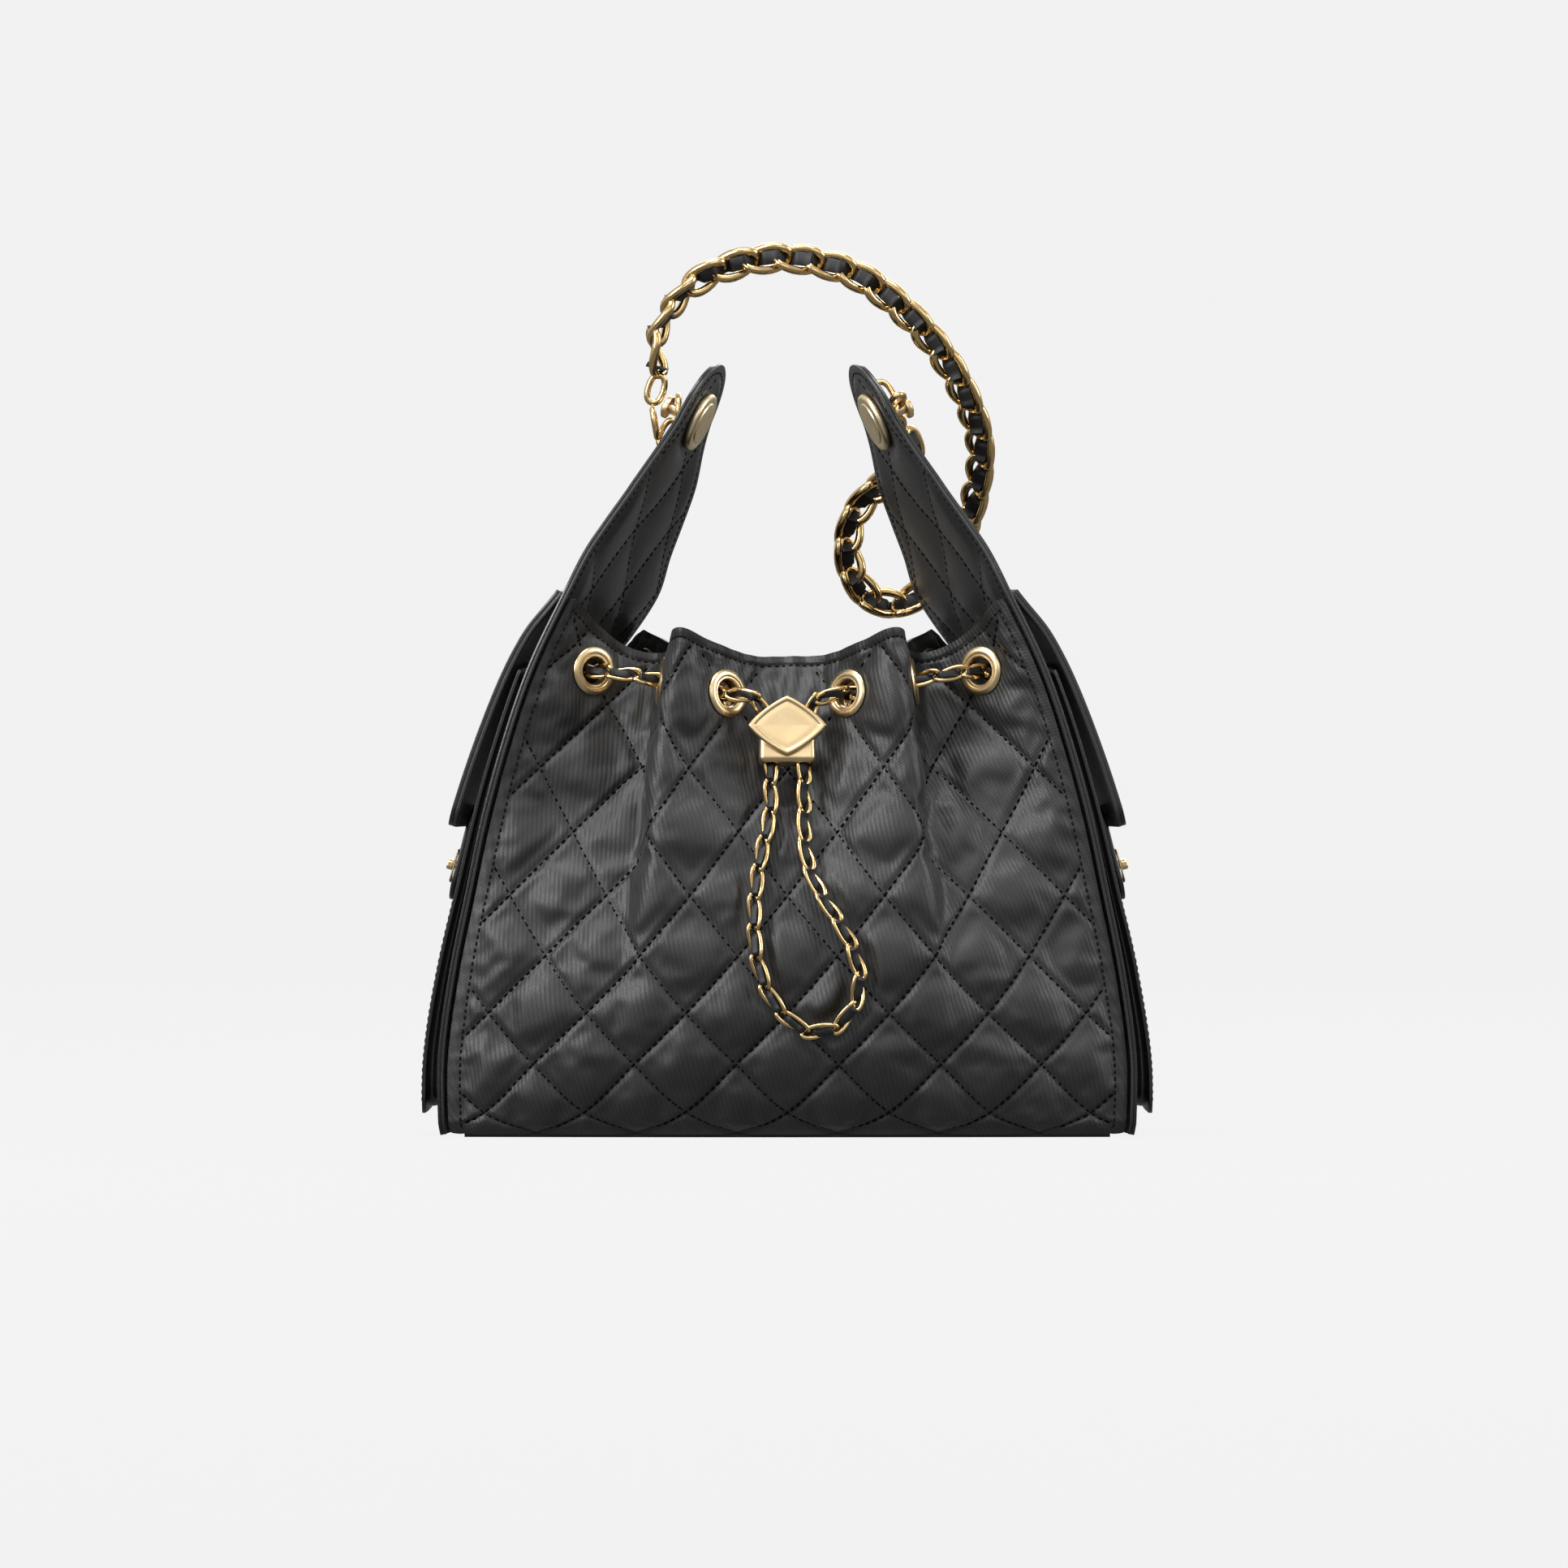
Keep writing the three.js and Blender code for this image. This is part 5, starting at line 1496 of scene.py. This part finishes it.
for side_name, side in SIDES:
    across, up, out = (Vector(v) for v in side_axes(side, EAR_CENTRE))
    keep(ear_disc(f"ear_stud_{side_name}", side), "bag", "pale_gold", DISC_GOLD)
    for part, profile, around, off, node in EAR_FITTINGS:
        piece = turned(f"{part}_{side_name}", profile, around)
        at = side_point(side, EAR_CENTRE, 0, off)
        piece.data.transform(basis(at, across, out.cross(across), out))
        keep(piece, "bag", "pale_gold", PALE_GOLD, f"{node}_{side_name}")

    bpy.ops.mesh.primitive_torus_add(major_radius=6.2 * MM, minor_radius=1.2 * MM,
                                     major_segments=40,
                                     minor_segments=14, rotation=(0, math.pi / 2, 0),
                                     location=side_point(side, EAR_CENTRE, 0, RING_OFF) * MM)
    ring = bpy.context.object
    ring.name = ring.data.name = f"strap_end_ring_{side_name}"
    bpy.ops.object.transform_apply(location=True, rotation=True, scale=True)
    keep(shade(ring, 60), "strap", "gold_chain", CHAIN_GOLD, f"strap_ring_{side_name}")


END_WIRE = 2.4
END_REACH = 10.6  # of a link's wire, from end to end along its middle


def end_links(name, places):
    """Separate links between the chain and its ring: (middle, way it runs, way it faces)."""
    master = link_master("link", END_REACH, 5.8, END_WIRE, 0)
    matrices = []
    for at, way, facing in places:
        way, facing = Vector(way).normalized(), Vector(facing)
        facing = (facing - way * facing.dot(way)).normalized()
        matrices.append(basis(at, way, facing.cross(way), facing))
    links = scattered(name, master, matrices)
    discard(master)
    return links


def ring_link(side, back, up_share):
    """A link through the ring on one ear, running off along the ear's face."""
    across, up, out = (Vector(v) for v in side_axes(side, EAR_CENTRE))
    way = (across * back + up * up_share).normalized()
    inside = END_REACH / 2 + RING_INSIDE
    middle = Vector(side_point(side, EAR_CENTRE, 0, RING_OFF)) + way * inside
    return middle, way, way.cross(out)


keep(end_links("strap_links_left", (
    ring_link(LEFT, 0, -1),
    ((-49.3, 1.4, 264.5), (0.17, 0, -1), (1, 0, 0)),
    ((-48.9, 1.4, 277.3), (-0.3, 0, -1), (0, -1, 0)))), "strap", "gold_chain", CHAIN_GOLD)
keep(end_links("strap_link_right", (ring_link(RIGHT, 0.8, -0.6),)), "strap", "gold_chain",
     CHAIN_GOLD)
keep(end_links("loose_links_right", (ring_link(RIGHT, 0.43, 0.9), ring_link(RIGHT, -0.9, 0.43))),
     "bag", "gold_chain", CHAIN_GOLD)


# ---- slider ------------------------------------------------------------------------------

STRAND_TOP, STRAND_LOW = (Vector(LOOP_ROUTE[3]) / MM, Vector(LOOP_ROUTE[5]) / MM)
strand_up = (STRAND_TOP - STRAND_LOW).normalized()
slider_middle = Vector((0, STRAND_TOP.y, STRAND_TOP.z)) - strand_up * 6.9
slider_width = Vector((1, 0, 0))
slider_out = slider_width.cross(strand_up)
slider_axes = (slider_width, strand_up, slider_out)


SLIDER_BLOCK = (21, 11, 8.4)
CHANNEL = {"apart": 6, "radius": 3.2, "deeper": 0.4}
LOZENGE = {"half_wide": 14.5, "half_tall": 11.5, "pointed": 1.65}


def slider_block(name):
    bpy.ops.mesh.primitive_cube_add(size=1)
    piece = bpy.context.object
    piece.name = piece.data.name = name
    set_coords(piece, coords(piece) * SLIDER_BLOCK * MM)
    modify(piece, "BEVEL", width=2.2 * MM, segments=5, limit_method="ANGLE",
           angle_limit=math.radians(60))
    for x in (-CHANNEL["apart"], CHANNEL["apart"]):
        bpy.ops.mesh.primitive_cylinder_add(vertices=32, radius=CHANNEL["radius"] * MM,
                                            depth=16 * MM,
                                            location=(x * MM, 0, -CHANNEL["deeper"] * MM),
                                            rotation=(math.pi / 2, 0, 0))
        drill = bpy.context.object
        modify(piece, "BOOLEAN", operation="DIFFERENCE", object=drill, solver="EXACT")
        discard(drill)
    piece.data.transform(basis(slider_middle + slider_out * 0.4, *slider_axes))
    return shade(piece, 40)


def slider_plaque(name):
    """A plain rounded lozenge with a raised rim, in rings from its back to its face."""
    profile = np.array([(11.5, 0), (1.2, 0), (0.3, 0.3), (0, 0.9), (0, 1.6), (0.3, 2.15),
                        (0.8, 2.4),
                        (1.4, 2.4), (1.9, 2.15), (2.2, 1.75), (2.7, 1.6), (5.5, 1.85),
                        (8.5, 2.05), (11.5, 2.1)])
    around = 96
    wide, tall = LOZENGE["half_wide"], LOZENGE["half_tall"]

    def place(i, j):
        turn = 2 * math.pi * i / around
        inset, height = profile[j.astype(int)].T
        c, s = np.cos(turn), np.sin(turn)
        return np.column_stack([
            np.maximum(wide - inset * wide / tall, 0) * np.sign(c)
            * np.abs(c) ** LOZENGE["pointed"],
            np.maximum(tall - inset, 0) * np.sign(s) * np.abs(s) ** LOZENGE["pointed"], height])

    piece = grid(name, around, len(profile) - 1, place)
    alone(piece)
    edit(merge_and_face_out)
    at = slider_middle + strand_up * 7.8 + slider_out * 4.9
    piece.data.transform(basis(at, *slider_axes))
    return shade(piece, 35)


keep(slider_block("slider_back"), "slider", "pale_gold", PALE_GOLD, "slider_block")
keep(slider_plaque("slider_lozenge"), "slider", "pale_gold", PALE_GOLD, "slider_plaque")


# ---- lining and base ---------------------------------------------------------------------

def lining_bag(name):
    """The lining: a cup of cloth inside the panels, up to its seam under the mouth's facing."""
    around, rows = 120, 56
    floor, top = 6.5, 128

    def place(i, j):
        turn = i / around
        end = np.where(turn < 0.5, FRONT, BACK)
        share = np.where(turn < 0.5, 4 * turn - 1, 3 - 4 * turn)
        up = np.clip((j - 8) / (rows - 8), 0, 1)
        z = floor + (top - floor) * up
        front, back = panel_point(FRONT, share, z), panel_point(BACK, share, z)
        wall = np.where((end < 0)[:, None], front, back)
        slack = np.array([noise.noise(Vector((p[0] * 0.03, p[1] * 0.03, p[2] * 0.02)))
                          for p in wall])
        inset = 6.2 + 0.8 * slack
        wall = np.column_stack([wall[:, 0] * (1 - inset / 125), wall[:, 1] - end * inset, z])
        inward = np.clip(j / 8, 0, 1)
        wall[:, :2] *= np.where(j < 8, inward ** 0.8, 1)[:, None]
        wall[:, 2] -= np.where(j < 8, 0.8 * (1 - inward), 0)
        return wall

    piece = grid(name, around, rows, place)
    alone(piece)
    edit(merge_and_face_out)
    modify(piece, "SOLIDIFY", thickness=0.6 * MM, offset=-1)
    return shade(piece, 60)


lining = keep(lining_bag("lining_cup"), "bag", "lining_cloth", LINING, "lining_bag")

for node, material in (("base_panel", TWILL), ("base_board", BOARD)):
    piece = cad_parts[node]
    piece.data.materials.clear()
    piece.data.materials.append(material)
for side_name, _ in SIDES:
    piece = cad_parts[f"turn_lock_plate_{side_name}"]
    piece.data.materials.clear()
    piece.data.materials.append(PALE_GOLD)
discard(STITCH)


# ---- floor and light ---------------------------------------------------------------------

def pale_floor():
    material, nodes, shader = finish_of("pale_floor")
    change = use(nodes, MOTTLE, Broad_scale=1.2, Fine_scale=40.0)
    wire(nodes, nodes.blend(change["Broad"], (0.014, 0.014, 0.014, 1), (0.018, 0.018, 0.018, 1)),
         shader.inputs["Base Color"])
    shader.inputs["Roughness"].default_value = 0.9
    shader.inputs["Specular IOR Level"].default_value = 0.0
    seen = nodes.add("ShaderNodeLightPath").outputs["Is Camera Ray"]
    wire(nodes, nodes.blend(seen, (0.2, 0.2, 0.2, 1), (0.876, 0.876, 0.876, 1)),
         shader.inputs["Emission Color"])
    shader.inputs["Emission Strength"].default_value = 1.0
    bpy.ops.mesh.primitive_circle_add(vertices=96, radius=12, fill_type="NGON")
    floor = bpy.context.object
    floor.name = "floor"
    floor.data.materials.append(material)


def softbox(name, place, target, size, power):
    bpy.ops.object.light_add(type="AREA", location=place)
    light = bpy.context.object
    light.name = name
    light.data.shape = "RECTANGLE"
    light.data.size, light.data.size_y = size
    light.data.energy = power
    way = Vector(target) - Vector(place)
    light.rotation_euler = way.to_track_quat("-Z", "Y").to_euler()
    light.visible_camera = False


pale_floor()
for name, place, aim, size, power in (
        ("top_light", (-0.3, -0.5, 2.3), 0.1, (1.6, 1.0), 34),
        ("left_light", (-1.8, -1.5, 1.3), 0.15, (0.9, 1.3), 46),
        ("right_light", (2.2, -0.5, 1.2), 0.15, (0.7, 1.4), 22),
        ("front_light", (0.6, -3.0, 1.5), 0.15, (2.2, 1.2), 9),
        ("back_light", (0.6, 2.4, 1.6), 0.15, (2.4, 1.2), 26)):
    softbox(name, place, (0, 0, aim), size, power)

world = bpy.data.worlds.new("studio")
bpy.context.scene.world = world
world.use_nodes = True
studio = Nodes(world.node_tree)
background = world.node_tree.nodes["Background"]
seen = studio.add("ShaderNodeLightPath").outputs["Is Camera Ray"]
height = studio.add("ShaderNodeSeparateXYZ",
                    {0: studio.add("ShaderNodeTexCoord").outputs["Generated"]}).outputs["Z"]
ambient = studio.spread(height, -0.3, 0.9, 0.07, 0.24)
mirrored = studio.add("ShaderNodeLightPath").outputs["Is Glossy Ray"]
ambient = studio.math("ADD", ambient, studio.math("MULTIPLY", mirrored, 0.45))
level = studio.add("ShaderNodeCombineColor", {0: ambient, 1: ambient, 2: ambient}).outputs[0]
backdrop = studio.blend(seen, (0, 0, 0, 1), (0.885, 0.885, 0.885, 1))
studio.tree.links.new(level, backdrop.node.inputs[6])
studio.tree.links.new(backdrop, background.inputs["Color"])
